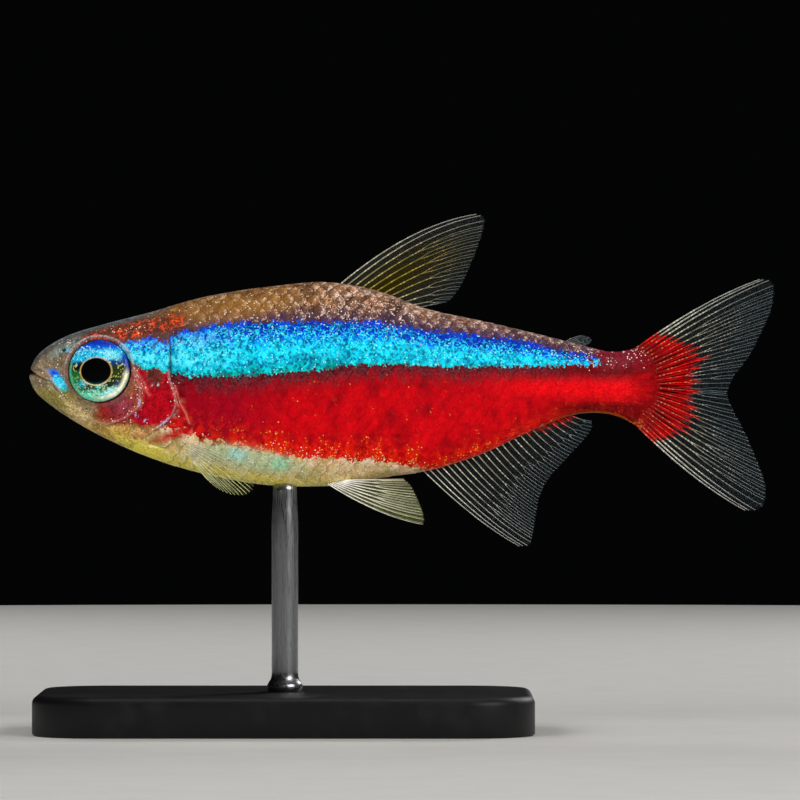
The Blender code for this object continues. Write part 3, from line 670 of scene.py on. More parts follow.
    # Painted places of the head and body.
    ahead = add(RISE, lengthwise, -12.0, -14.0)
    painted = paint["Color"]
    for value, calm, rough in ((grains[0], 0.2, 0.34), (blots[1], 0.14, 0.32)):
        swing = add(RANGE, ahead, 0.0, 1.0, calm, rough)
        swing = add(RANGE, value, 0.36, 0.64, add(LESS, 1.0, swing), add("Math.ADD", 1.0, swing))
        painted = add(SHADE, 1.0, painted, swing)
    freckle = add(TIMES, add(RISE, dots[0], 0.34, 0.24), add(RISE, near, 0.42, 0.2), ahead, 0.5)
    painted = add(MIX, freckle, painted, "1C1410")
    body = add(MIX, paint["Alpha"], body, painted)
    body = add(MIX, add(TIMES, ember, 0.65), body, "46201A")
    embers = add(TIMES, ember, add(RISE, blots[2], 0.4, 0.56), add(RISE, grains[1], 0.38, 0.54))
    body = add(MIX, embers, body, add(MIX, add(RISE, grains[0], 0.4, 0.6), "8C2414", "FA5C28"))

    # The stripe: deep blue above, cyan, then green below, all in specks and short worms.
    level = add("Math.DIVIDE", low, add("Math.ADD", top, low))
    for value, much in (
        (add(LESS, blots[0], 0.5), 0.48),
        (chance, 0.08),
        (add(RISE, lengthwise, -6.0, 10.0), 0.16),
        (add(RISE, lengthwise, -13.0, -15.0), 0.05),
    ):
        level = add(NUDGE, value, much, level)
    stops = [(0.02, "048A74"), (0.14, tints.neon_green), (0.28, "05B6DA"), (0.48, tints.neon)]
    stops += [(0.58, "06BEF6"), (0.7, "0878EC"), (0.8, tints.neon_deep), (0.93, "08188C")]
    neon = add(RAMP, level, stops=stops)
    neon = add(MIX, add(RISE, blots[1], 0.54, 0.42), neon, add(MIX, 0.5, neon, "024488"))
    royal = add(TIMES, add(RANGE, lengthwise, -13.0, -9.0, 0.85, 0.4), add(RISE, top, 0.85, 0.35))
    neon = add(MIX, royal, neon, "0640DC")
    each = add(TIMES, add(RANGE, chance, 0.0, 1.0, 0.8, 1.2), 1.12)
    neon = add(SHADE, 1.0, add(SHADE, 0.45, neon, shade), each)
    lit = add(TIMES, add(RISE, level, 0.1, 0.5), add(RISE, level, 1.1, 0.8))
    bright = add(MIX, lit, add(SHADE, 1.0, neon, 1.35), "30F4FF")
    neon = add(MIX, add(TIMES, worm, 0.85), neon, bright)
    fine_lit = add(TIMES, add(RISE, level, 0.1, 0.4), add(RISE, level, 0.84, 0.6))
    hot = add(TIMES, add(RISE, lengthwise, -9.0, -13.0), add(RISE, blots[1], 0.42, 0.56), lit, 0.5)
    # Painted glints: small white-cyan specks over the stripe.
    speck = add(TIMES, add(RISE, dots[2], 0.72, 0.8), add(RISE, near, 0.42, 0.2), 0.85)
    for share, code in (
        (add(TIMES, thread, fine_lit, 0.4), "1CECFF"),
        (hot, "78F4FF"),
        (speck, "98F6FF"),
        (add(TIMES, add(RISE, dots[2], 0.26, 0.16), 0.6), "02305E"),
    ):
        neon = add(MIX, share, neon, code)
    body = add(MIX, add(RISE, add("Math.MINIMUM", top, low, ends), -0.02, 0.05), body, neon)

    # Glints: pinkish white behind the scale edges of the back, gold along the red's lower edge.
    arc = add(TIMES, add(RISE, rim, 0.05, 0.12), add(RISE, rim, 0.42, 0.22), is_back)
    arc = add(TIMES, arc, add(RISE, blots[0], 0.48, 0.58), add(RISE, grains[2], 0.46, 0.56))
    arc = add(TIMES, arc, add(RANGE, lengthwise, -14.0, -3.0, 0.3, 1.0), 0.85)
    body = add(MIX, arc, body, "F0C8B0")
    drawn = add("Mapping", {0: mm, 3: (2.6, 1.0, 0.7)})
    strings = add(NOISE, {"Vector": drawn, "Scale": 1.0, "Detail": 2.0})
    gold = add(TIMES, add(RISE, above_red, 1.9, 0.1), add(RISE, above_red, -0.5, 0.0))
    gold = add("Math.ADD", gold, add(RISE, strings, 0.42, 0.66), add(TIMES, dots[1], 0.9))
    flank = add(RANGE, lengthwise, 3.0, 8.0, 1.0, 0.15)
    flank = add(TIMES, add(RISE, lengthwise, -12.8, -7.0), flank)
    border = add(TIMES, add(RISE, above_red, 1.9, 0.5), add(RISE, above_red, -0.1, 0.1))
    body = add(MIX, add(TIMES, add(RISE, gold, 1.2, 1.9), flank, border, 0.7), body, "F02408")
    gold = add(TIMES, add(RISE, gold, 1.66, 1.9), add(RISE, near, 0.36, 0.16), flank)
    body = add(MIX, gold, body, add(MIX, dots[0], "FF8C1C", "FFD85C"))
    tiny = add("TexVoronoi", {"Vector": mm, "Scale": 12.0, "Randomness": 1.0})
    kinds = add(SPLIT, tiny.outputs["Color"]).outputs
    few = add("Math.GREATER_THAN", add("Math.ADD", kinds[0], sparkle), 1.0)
    few = add(TIMES, few, add(RISE, tiny.outputs["Distance"], 0.6, 0.3))
    big = add("Math.GREATER_THAN", add(NUDGE, sparkle, 0.3, dots[0]), 1.0)
    big = add(TIMES, big, add(RISE, near, 0.42, 0.2))
    body = add(MIX, add("Math.MAXIMUM", few, big), body, add(MIX, kinds[2], "F0D0A0", "FFFFFF"))
    finish = {
        "Base Color": add(MIX, ink["Alpha"], body, ink["Color"]),
        "Roughness": add(RANGE, grain, 0.3, 0.7, 0.28, 0.5),
        "Normal": add("Bump", {"Strength": 0.5, "Distance": 0.03 * MM, "Height": grain}),
        "IOR": 1.36,
        "Specular IOR Level": 0.11,
    }
    add("OutputMaterial", add("BsdfPrincipled", finish))


def wash(tone, rows):
    """Turns the colours in tone towards each row's colour by the row's share."""
    for share, code in rows:
        tone[:, :3] += (np.array(linear(code)[:3]) - tone[:, :3]) * np.clip(share, 0, 1)[:, None]


def dab(layer, rows):
    """Lays each row's colour, by the row's share, on a layer of colour and cover."""
    for share, code in rows:
        share = np.clip(share, 0, 1)
        cover = share + layer[:, 3] * (1 - share)
        weight = (share / np.maximum(cover, 1e-6))[:, None]
        layer[:, :3] += (np.array(linear(code)[:3]) - layer[:, :3]) * weight
        layer[:, 3] = cover


def bell(far, width):
    """1 where far is 0, falling off evenly to both sides over a width."""
    return np.exp(-((far / width) ** 2))


def oval(x, z, at, size, tilt=0.0, edge=0.35):
    """1 inside an oval of half sizes in percent, tilted in degrees, easing to 0 at its edge."""
    turn = math.radians(tilt)
    along = (x - at[0]) * math.cos(turn) + (z - at[1]) * math.sin(turn)
    over = (z - at[1]) * math.cos(turn) - (x - at[0]) * math.sin(turn)
    far = np.sqrt((along / size[0]) ** 2 + (over / size[1]) ** 2)
    return smooth((1 + edge - far) / (2 * edge))


def head_relief(x, z):
    """How far the skin of the head stands out, in millimetres.

    Lips swell round the mouth line with a groove between them, the eye has a rim, the nostril
    is a pit, and the cheek plates and gill cover end in low ridges with grooves behind them.
    """
    flat = np.stack([x, z], axis=1)
    mouth = distance_to(flat, MOUTH_LINE)
    lips = LIP_SWELL * bell(mouth, LIP_REACH) * np.clip(3 * (1 - x / LIP_END), 0, 1)
    below = smooth((1.1 - 0.4 * x - z) / 0.4)
    lips = lips + 0.1 * below * bell(mouth - 0.25, 0.2) * smooth((2.2 - x) / 1.2)
    open_by = 0.05 + 0.12 * smooth((1.1 - x) / 0.9)
    gap = (0.14 + 0.26 * smooth((1.4 - x) / 0.9)) * bell(mouth, open_by)
    gap = gap * smooth((2.6 - x) / 0.8)
    rim = 0.1 * bell(np.hypot(x - EYE_X, z - EYE_Z) * UNIT - EYE_RADIUS - 0.2, 0.2)
    crease = 0.07 * bell(distance_to(flat, JAW_SIDE), 0.07)
    upper = 0.06 * bell(distance_to(flat, MAXILLA), 0.12)
    nostril = np.hypot(x - NOSTRIL[0], z - NOSTRIL[1]) * UNIT
    pit = 0.3 * bell(nostril, 0.11) - 0.07 * bell(nostril - 0.24, 0.1)
    cheek = distance_to(flat, PREOPERCLE)
    ridge = 0.06 * bell(cheek, 0.1) - 0.04 * bell(cheek - 0.2, 0.1)
    behind = behind_edge(x, z)
    on_side = smooth((6.4 - z) / 1.4) * smooth((z + 8.6) / 2.4)
    cover = 0.1 * bell(np.minimum(behind, 0), 0.6) * (behind <= 0)
    slit = 0.12 * bell(np.maximum(behind - 0.05, 0), 0.14) * (behind > 0)
    girdle = 0.04 * bell(distance_to(flat, GIRDLE), 0.09)
    return lips + rim + ridge + girdle + upper - gap - crease - pit + (cover - slit) * on_side


def socket(x, z):
    """Depth of the eye socket in millimetres: a steep wall at its radius, then a bowl."""
    inside = SOCKET_RADIUS - np.hypot(x - EYE_X, z - EYE_Z) * UNIT
    return SOCKET_DEPTH * smooth(inside / SOCKET_WALL)


def draw_rings_to_socket(points):
    """Draws the skin's lines together at the rim of the socket, so that the rim is crisp."""
    offset = points[..., [0, 2]] - (EYE_X, EYE_Z)
    radius = np.linalg.norm(offset, axis=-1) * UNIT
    off = SOCKET_RADIUS - SOCKET_LIP - radius
    pull = SOCKET_PULL * off * bell(off, SOCKET_REACH)
    scale = (radius + pull) / np.maximum(radius, 1e-6)
    near = (radius < 2 * SOCKET_RADIUS) & (np.abs(points[..., 1]) > 1e-9)
    moved = offset * scale[..., None] + (EYE_X, EYE_Z)
    side = np.sign(points[..., 1]) * side_at(moved[..., 0], moved[..., 1])
    drawn = np.stack([moved[..., 0], side, moved[..., 1]], axis=-1)
    return np.where(near[..., None], drawn, points)


def markings(points):
    """Where a place lies against the stripe and the red band, all in millimetres."""
    x, z = points[:, 0], points[:, 2]
    top = np.interp(x, *STRIPE_TOP.T)
    low = np.interp(x, *STRIPE_LOW.T)
    red = np.maximum(np.interp(x, *RED_LOW.T), outline(x)[1] - KEEL_MARGIN)
    marks = np.stack([top - z, z - low, z - red], axis=1) * UNIT
    ends = np.minimum(x - STRIPE_ENDS[0], STRIPE_ENDS[1] - x) * UNIT
    spot = STRIPE_SPOT_SIZE - np.hypot(x - STRIPE_SPOT[0], z - STRIPE_SPOT[1]) * UNIT
    return marks, np.maximum(ends, spot)


def body_paint(points):
    """Colours of the head and the large soft patches of the body, as colour and cover."""
    x, z = points[:, 0], points[:, 2]
    spot = functools.partial(oval, x, z)
    back, belly, _ = outline(x)
    behind = behind_edge(x, z)
    tone = np.zeros((len(x), 4))
    high = smooth((z - 4.6) / 1.4)
    tone[:, 3] = smooth((0.12 - behind) / 0.2) * (1 - high) + smooth((20.5 - x) / 7.0) * high
    ridge = np.interp(z, PREOPERCLE[::-1, 1], PREOPERCLE[::-1, 0])
    under = np.interp(x, (13.0, 15.0, 17.5, 20.0), (-4.6, -6.3, -6.0, -4.8))
    cover = smooth((x - ridge + 0.2) / 0.9) * smooth((z - under + 0.5) / 0.9)
    throat = np.interp(x, (8, 13, 18, 21), (-5.6, -5.8, -6.4, -7.2))
    beside = smooth((np.abs(points[:, 1]) - 0.3) / 0.5)
    middle = smooth((1.5 - np.abs(points[:, 1])) / 0.9)
    wash(tone, [
        (np.ones(len(x)), "6E4838"),
        (smooth((7.5 - x) / 4.0), "87765C"),
        (0.75 * spot((5.2, 5.0), (2.8, 1.1), 32, 0.6), "7A9490"),
        (0.5 * spot((5.7, 2.4), (1.3, 1.7), 0, 0.6), "6A4A30"),
        (smooth((-0.2 - z - 0.1 * x) / 1.5) * smooth((9.5 - x) / 3), "8E8044"),
        (smooth((-1.2 - z) / 2.0) * smooth((x - 5) / 2), "A8824A"),
        (spot((11.2, -4.3), (3.6, 1.7), -14, 0.5), "9A241E"),
        (spot((13.2, -1.0), (1.5, 3.2), 14, 0.5), "9C2428"),
        (cover * smooth((2.2 - z) / 1.2), "A8081C"),
        (0.5 * spot((17.6, -4.0), (1.6, 2.2), 0, 0.6), "B8040F"),
        (0.9 * spot((16.9, 0.9), (1.2, 1.7), 10, 0.5), "5E302A"),
        (0.6 * spot((12.4, -3.2), (1.7, 1.7), 0, 0.7), "8A3C50"),
        (0.5 * spot((13.5, -1.0), (0.9, 1.2), 0, 0.6), "8C7440"),
        (smooth((throat - z) / 0.9), "D2A654"),
        (spot((7.6, -3.4), (1.7, 1.2), -40, 0.6), "9C8660"),
        (0.6 * spot((16.6, -6.9), (3.4, 0.6), 14, 0.6), "C07C5C"),
        (spot((6.6, -4.7), (2.2, 0.9), -38, 0.6), "CCB070"),
        (smooth((z - back + 1.9) / 1.4) * 0.8, "4A3A2C"),
        # Painted rim light along the top edge: a grey band and a pale line, where light comes through
        # the thin skin.
        (smooth((z - back + 1.0) / 0.8) * 0.6, "566064"),
        (smooth((z - back + 0.26) / 0.2) * 0.4 * beside, "8A979C"),
        (smooth((belly + 0.9 - z) / 0.8) * smooth((x - 7) / 3), "B4A24C"),
        (smooth((belly + 2.6 - z) / 1.8) * smooth((x - 9.5) / 4), "DCCC58"),
        (0.8 * middle * spot((10.3, -7.7), (2.4, 0.5), -29, 0.6), "C8541E"),
    ])
    # Brighter line along the stalk, darker above and below, and dark where the rays start. Then
    # olive gold on the shoulder, mint and silver on the front of the belly, and a painted rim light
    # along the top.
    line = np.interp(x, [60, 84], [-1.0, -1.2])
    strip = bell(z - line, 1.1) * smooth((x - 58) / 12) * smooth((83.5 - x) / 3)
    seam = bell(z - np.interp(x, [60, 84], [-0.8, -1.0]), 0.16)
    stalk = smooth((x - 66) / 10) * smooth((np.abs(z - line) - 1.2) / 1.2) * (z < 2.2)
    dab(tone, [
        (0.9 * strip, "FA0812"),
        (0.35 * seam * smooth((x - 66) / 6) * smooth((83 - x) / 2), "B0000C"),
        (stalk, "6E0206"),
        (0.7 * smooth((x - 74.5) / 2.0) * smooth((z - 1.0) / 1.2), "821428"),
        (0.9 * spot((83.9, -0.9), (2.4, 5.4), 0, 0.6), "860307"),
        (0.6 * smooth((belly + 0.4 - z) / 0.25) * smooth((x - 66) / 5), "B4621A"),
        (0.5 * spot((27.5, 9.6), (9.5, 1.6), 9, 0.5) * (behind > 0), "9A6A28"),
        (0.8 * spot((29.5, -10.6), (7.5, 1.5), -10, 0.45) * (behind > 0), "B4CC9E"),
        (0.7 * spot((28.0, -9.9), (1.3, 0.7), -10, 0.5), "7CD8D8"),
        (0.7 * spot((33.6, -11.2), (1.2, 0.8), -10, 0.5), "8CDCB4"),
        # Painted rim light: a pale line along the top of the body.
        (0.5 * smooth((z - back + 0.24) / 0.2) * (x > 17) * beside, "7C8284"),
    ])
    return tone


def head_ink(points, rng):
    """Fine lines and spots that lie over everything else, as colour and cover."""
    x, z = points[:, 0], points[:, 2]
    flat = np.stack([x, z], axis=1)
    spot = functools.partial(oval, x, z)
    layer = np.zeros((len(x), 4))
    behind = behind_edge(x, z)
    on_side = smooth((5.5 - z) / 1.0)
    ragged = rng.normal(0, 0.16, len(x))
    pale, dull, ring_glint = (rng.random(len(x)) > rare for rare in (0.85, 0.9, 0.45))

    def line(path, width):
        """Cover of a line of a width in millimetres."""
        return bell(distance_to(flat, np.array(path)), width)

    # Blue patch before the eye, deep blue at its top.
    patch = oval(x + ragged, z, (3.95, 0.0), (0.62, 1.75), 36, 0.22)
    dab(layer, [
        (patch, "10D0F8"),
        (patch * smooth((z - 0.1 + ragged) / 0.8), "0834F0"),
        (patch * smooth((-0.7 - z) / 0.7), "06B888"),
        (patch * pale * smooth((0.9 - z) / 0.6), "9CFAFF"),
        (0.5 * patch * dull, "04306C"),
    ])
    # Lips and mouth with painted shade in the mouth's gap, then the nostril: painted shade in its
    # opening with a bluish glint behind it.
    dab(layer, [
        (0.4 * line([(0.3, 1.25), (1.2, 0.85), (2.3, 0.25)], 0.05), "A8683A"),
        (0.95 * line(MOUTH_LINE[1:], 0.04), "20100A"),
        (line([(-0.6, 1.0), (0.8, 0.85)], 0.09), "080403"),
        (0.55 * line(MAXILLA, 0.045), "C8B4A4"),
        (0.5 * line(JAW_SIDE, 0.04), "C4BC9C"),
        # A painted glint line along the ridge under the eye.
        (0.4 * line([(5.6, -3.2), (7.0, -4.6), (8.8, -5.5), (11.0, -6.2)], 0.05), "D8C8A0"),
        (spot(NOSTRIL, (0.26, 0.2), 20, 0.4), "100C0A"),
        (0.9 * spot((5.2, 4.0), (0.42, 0.3), 0, 0.5), "58B0CC"),
    ])
    # Ring of skin round the eye, with painted highlights along its top and painted shade where the
    # eyeball comes out. Edge of the gill cover: painted shade in the slit behind it, then a pale pink
    # line. Then the cheek ridge and the shoulder line.
    ring = np.hypot(x - EYE_X, z - EYE_Z) * UNIT - SOCKET_RADIUS
    upper = smooth((z - EYE_Z - 0.5 * (x - EYE_X)) / 2)
    edge = bell(behind + 0.05, 0.05) * on_side
    dab(layer, [
        (0.6 * bell(ring - 0.12, 0.09), "5C4A46"),
        (0.45 * upper * bell(ring - 0.2, 0.04), "A48C8C"),
        (0.6 * ring_glint * bell(ring - 0.16, 0.06) * smooth(z - 1.5), "D8C8C8"),
        (smooth((0.0 - ring) / 0.04), "1A1210"),
        (0.9 * bell(behind - 0.06, 0.06) * on_side * smooth((z + 0.6) / 1.6), "14222C"),
        (0.75 * edge * smooth((z + 6.2) / 1.0) * smooth((1.6 - z) / 0.6), "C8888A"),
        (0.6 * line(PREOPERCLE[1:], 0.06), "C07A78"),
        (0.35 * line([(12.2, -0.6), (13.6, 0.2), (14.9, -1.0)], 0.05), "B87068"),
        (0.5 * line([(14.0, 0.9), (15.0, -0.6), (16.3, -2.1)], 0.06), "F07868"),
        (0.4 * line([(14.2, 1.6), (15.4, -0.2), (16.0, -1.4)], 0.05), "E89C90"),
        (0.8 * line(GIRDLE, 0.045), "F08868"),
    ])
    # Glints on the gill cover, then a red streak and spots on the throat.
    for at, size, tilt, code in (
        ((14.9, -3.0), (0.16, 0.8), 0, "C9B8F0"),
        ((14.5, -4.8), (0.22, 0.3), 30, "B8B0F4"),
        ((15.7, -5.4), (0.4, 0.14), 30, "C4C0F8"),
        ((18.3, -5.5), (0.8, 0.16), 38, "BFB6F6"),
        ((17.4, -6.2), (0.5, 0.12), 30, "E0D8F8"),
        ((16.6, -0.55), (0.16, 0.16), 0, "F4F0F8"),
        ((17.4, -0.6), (0.16, 0.16), 0, "F4F0F8"),
    ):
        dab(layer, [(0.95 * spot(at, size, tilt, 0.5) * (rng.random(len(x)) > 0.35), code)])
    dab(layer, [
        (spot((19.5, -7.3), (2.5, 0.62), 19, 0.4), "C2040E"),
        (0.9 * spot((16.5, -8.3), (0.5, 0.28), 10, 0.3), "B4060F"),
        (0.9 * spot((18.9, -9.0), (0.3, 0.2), 10, 0.3), "B4060F"),
    ])
    return layer


def sparkles(points):
    """How thickly silver and gold specks lie at a place, from 0 to 1."""
    x, z = points[:, 0], points[:, 2]
    flat = np.stack([x, z], axis=1)
    near = np.zeros(len(x))
    for at, size, much in (
        ((6.0, 4.6), (2.4, 1.1), 0.16), ((4.5, 1.0), (3.0, 3.0), 0.05),
        ((11.0, -5.8), (3.4, 1.2), 0.07), ((7.0, -4.4), (1.8, 1.1), 0.2),
        ((14.5, 6.6), (4.5, 0.8), 0.08), ((16.5, -7.3), (3.6, 1.4), 0.06),
        ((13.4, -1.5), (1.2, 3.2), 0.05), ((27.0, 9.6), (12.0, 2.0), 0.05),
        ((47.0, 10.0), (9.0, 3.0), 0.1), ((30.0, -11.0), (10.0, 2.0), 0.14),
        ((44.0, -12.2), (8.0, 1.5), 0.12), ((77.5, 3.2), (6.5, 1.3), 0.14),
    ):
        near = np.maximum(near, much * oval(x, z, at, size, 0, 0.6))
    for path, width, much in (
        (EMBER_LINE, 0.45, 0.04), (PREOPERCLE[1:], 0.2, 0.24),
        (COVER_EDGE[4:10], 0.2, 0.2), (JAW_SIDE, 0.2, 0.2),
    ):
        near = np.maximum(near, much * bell(distance_to(flat, path), width))
    return near


def all_marks(points, plate, rng):
    """Every value that the skin's material reads at a point."""
    marks, ends = markings(points)
    ember = distance_to(points[:, [0, 2]], EMBER_LINE)
    return {
        "marks": marks,
        "stripe_end": ends,
        "paint": body_paint(points),
        "ink": head_ink(points, rng),
        "sparkle": sparkles(points),
        "ember": smooth((EMBER_WIDTH - ember) / EMBER_EDGE),
        "plate": plate,
    }


def build_skin(context):
    """One closed skin: rings round the body, in by the coat's depth, then raised by the relief."""
    rng = np.random.default_rng(SEED)
    snout = SNOUT_END * (np.arange(SNOUT_RINGS + 1) / SNOUT_RINGS) ** 2
    head = np.arange(SNOUT_END + HEAD_STEP, HEAD_END, HEAD_STEP)
    rest = np.linspace(head[-1], FLESH_END, BODY_RINGS + 1)[1:]
    stations = np.concatenate([snout, head, rest])
    angle = np.linspace(0, 2 * math.pi, RING_POINTS, endpoint=False)
    x, turn = np.meshgrid(stations, angle, indexing="ij")
    points = draw_rings_to_socket(flesh(x, turn))
    flat = points.reshape(-1, 3)
    rise = head_relief(flat[:, 0], flat[:, 2]) - socket(flat[:, 0], flat[:, 2])
    rise = rise.reshape(x.shape) - context.scene.tetra_sizes.coat / MM
    shaped = points + facing(x, turn) * (rise / UNIT)[..., None]
    shaped[[0, -1], :, 1] = 0.0
    shaped[0, :, 0] = shaped[1, :, 0].min() - SNOUT_TIP
    shaped[-1, :, 0] += TAIL_TIP
    rows, columns = x.shape
    down, over = np.meshgrid(np.arange(rows - 1), np.arange(columns), indexing="ij")
    lengthwise = np.concatenate([[0], np.cumsum(np.diff(stations))]) / FLESH_END
    u = np.stack([lengthwise[down + k] for k in (0, 1, 1, 0)], axis=-1)
    v = np.stack([(over + k) / columns for k in (0, 0, 1, 1)], axis=-1)
    unwrap = np.stack([u, v], axis=-1).reshape(-1, 2)
    marks = all_marks(flat, np.tile((1.0, 0.5, 0.5), (len(flat), 1)), rng)
    nodes = ["head", "lower_jaw", "gill_cover_left", "gill_cover_right", "trunk", "tail_stalk"]
    faces = [grid_faces(rows, columns, wrap=True)]
    shaped = place(shaped).reshape(-1, 3)
    material = bpy.data.materials[SKIN]
    piece = new_piece("skin", shaped, faces, material, "skin", marks, unwrap, stands_for=nodes)
    face_outwards(piece, 1e-8)


def girth_table():
    """Angles round the body at even girth steps from the lateral line, for each x of a table."""
    x = np.linspace(COAT_START - 1, FLESH_END, TABLE_STATIONS)
    turn = np.linspace(-TABLE_OVERLAP, math.pi + TABLE_OVERLAP, TABLE_ANGLES)
    grid = flesh(*np.meshgrid(x, turn, indexing="ij"))
    steps = np.linalg.norm(np.diff(grid[:, :, 1:], axis=1), axis=2) * UNIT
    along = np.concatenate([np.zeros((len(x), 1)), np.cumsum(steps, axis=1)], axis=1)
    level = np.interp(x, *LATERAL_LINE.T)
    side = (turn > TABLE_SIDE) & (turn < math.pi - TABLE_SIDE)
    zero = [np.interp(-v, -g[side, 2], a[side]) for v, g, a in zip(level, grid, along, strict=True)]
    girth = along - np.array(zero)[:, None]
    even = np.linspace(-TABLE_REACH, TABLE_REACH, TABLE_GIRTHS)
    angles = np.stack([np.interp(even, g, turn) for g in girth])
    top, low = (np.array([np.interp(end, turn, g) for g in girth]) for end in (0, math.pi))
    return x, even, angles, top, low


def read_table(table, x, girth):
    """The table's angle at places between its entries."""
    knots, even, angles = table[:3]
    i = np.clip((x - knots[0]) / (knots[1] - knots[0]), 0, len(knots) - 1.001)
    j = np.clip((girth - even[0]) / (even[1] - even[0]), 0, len(even) - 1.001)
    a, b = i.astype(int), j.astype(int)
    i, j = i - a, j - b
    low = angles[a, b] * (1 - j) + angles[a, b + 1] * j
    high = angles[a + 1, b] * (1 - j) + angles[a + 1, b + 1] * j
    return low * (1 - i) + high * i


def scale_sizes(x):
    """Step and height of the scales at x, in millimetres."""
    return np.interp(x, SCALE_SPAN, SCALE_STEP), np.interp(x, SCALE_SPAN, SCALE_HEIGHT)


def scale_roots(table):
    """Places of all the scales of one side: x, girth, step and height, each column shifted half."""
    x = [COAT_START]
    while x[-1] < COAT_END:
        x.append(x[-1] + scale_sizes(x[-1])[0] / 2 / UNIT)
    x = np.array(x)
    tall = scale_sizes(x)[1]
    row = np.arange(-SCALE_ROWS, SCALE_ROWS + 1)[None, :] + (np.arange(len(x)) % 2)[:, None] / 2
    girth = row * tall[:, None]
    x, tall = (np.broadcast_to(v[:, None], girth.shape) for v in (x, tall))
    top, low = (np.interp(x, table[0], edge) for edge in table[3:])
    where = flesh(x, read_table(table, x, girth))
    clear = behind_edge(where[..., 0], where[..., 2]) > COVER_GAP
    keep = (girth > top + MIDDLE_GAP) & (girth < low - MIDDLE_GAP) & clear
    return [v[keep] for v in (x, girth, scale_sizes(x)[0], tall)]


def ridge_roots(table, low):
    """A row of scales along the middle of the back or belly, over the ends of the side rows."""
    first, last = RIDGE_BELLY if low else RIDGE_BACK
    x = np.arange(first, last, RIDGE_STEP / UNIT)
    step, tall = scale_sizes(x)
    return [x, np.interp(x, table[0], table[4 if low else 3]), step, tall * RIDGE_HEIGHT]


def scale_coat(context, name, side, roots, table):
    """A coat of scales as one mesh.

    Each is a small grid with a rounded rear edge that rises from the skin towards that edge,
    a skirt of its own thickness round it and a closed underside. They lie flattest on the red.
    """
    sizes = context.scene.tetra_sizes
    coat = sizes.coat / MM
    rng = np.random.default_rng(SEED + side + 2)
    x, girth, step, tall = (v[:, None, None] for v in roots)
    count = len(roots[0])
    a, b = SCALE_ALONG[None, :, None], SCALE_ACROSS[None, None, :]
    edge = np.sqrt(1 - SCALE_ROUND * b**2)
    far = x + SCALE_REACH * step * a * edge / UNIT
    across = girth * scale_sizes(far)[1] / tall + b * tall * SCALE_SIDE
    jitter = rng.uniform(*SCALE_JITTER, (count, 1, 1))
    far = np.minimum(far, FLESH_END)
    turn = read_table(table, far, across)
    top, out = flesh(far, turn), facing(far, turn)
    red = np.minimum(np.interp(x, *STRIPE_LOW.T) - top[..., 2], top[..., 2] - np.interp(x, *RED_LOW.T))
    flatter = 1 - RED_FLATNESS * smooth(red / 1.6)
    height = coat * SCALE_LIFT * jitter * flatter * (0.04 + 0.92 * a) * (1 - 0.7 * b**2)
    upper = top + out * ((height - coat) / UNIT)[..., None]
    lower = top + out * ((height - coat - sizes.scale_thickness / MM) / UNIT)[..., None]
    rows, columns = len(SCALE_ALONG), len(SCALE_ACROSS)
    grid = np.arange(rows * columns).reshape(rows, columns)
    rim = np.concatenate([grid[0, :-1], grid[:-1, -1], grid[-1, :0:-1], grid[:0:-1, 0]])
    under = lower.reshape(count, -1, 3)[:, rim]
    points = np.concatenate([upper.reshape(count, -1, 3), under], axis=1)
    points[..., 1] *= side
    each = points.shape[1]
    shift = (np.arange(count) * each)[:, None, None]
    foot = rows * columns + np.arange(len(rim))
    skirt = np.stack([rim, np.roll(rim, -1), np.roll(foot, -1), foot], axis=1)
    kinds = (grid_faces(rows, columns), skirt, foot[::-1][None])
    faces = [(kind[None] + shift).reshape(-1, kind.shape[1]) for kind in kinds]
    if side < 0:
        faces = [f[:, ::-1] for f in faces]
    rear = (1 - a) * SCALE_REACH * step * edge
    beside = (1 - np.abs(b)) * tall * SCALE_SIDE * np.ones_like(a)
    nearest = np.minimum(rear, 0.2 + beside)
    plate = np.stack(np.broadcast_arrays(nearest, rng.random((count, 1, 1)), a), axis=-1)
    plate = plate.reshape(count, -1, 3)
    plate = np.concatenate([plate, plate[:, rim]], axis=1).reshape(-1, 3)
    flat = points.reshape(-1, 3)
    root_turn = read_table(table, roots[0], roots[1]) * side / (2 * math.pi) % 1
    local = np.stack(np.broadcast_arrays(a[0], b[0] / 2 + 0.5), axis=-1).reshape(-1, 2)
    local = np.concatenate([local, local[rim]]) - 0.5
    home = np.stack([roots[0] / FLESH_END, root_turn], axis=1)
    corners = np.concatenate([f.ravel() for f in faces])
    unwrap = home[corners // each] + local[corners % each] * SCALE_PATCH
    marks = all_marks(flat, plate, rng)
    material = bpy.data.materials[SKIN]
    new_piece(name, place(flat), faces, material, "skin", marks, unwrap, flat=2)


def build_scales(context):
    """The coats of the left and right side, and the rows along the back and the belly."""
    table = girth_table()
    sides = scale_roots(table)
    for name, side in (("scales_left", -1), ("scales_right", 1)):
        ridge = ridge_roots(table, side > 0)
        both = [np.concatenate(pair) for pair in zip(sides, ridge, strict=True)]
        scale_coat(context, name, side, both, table)


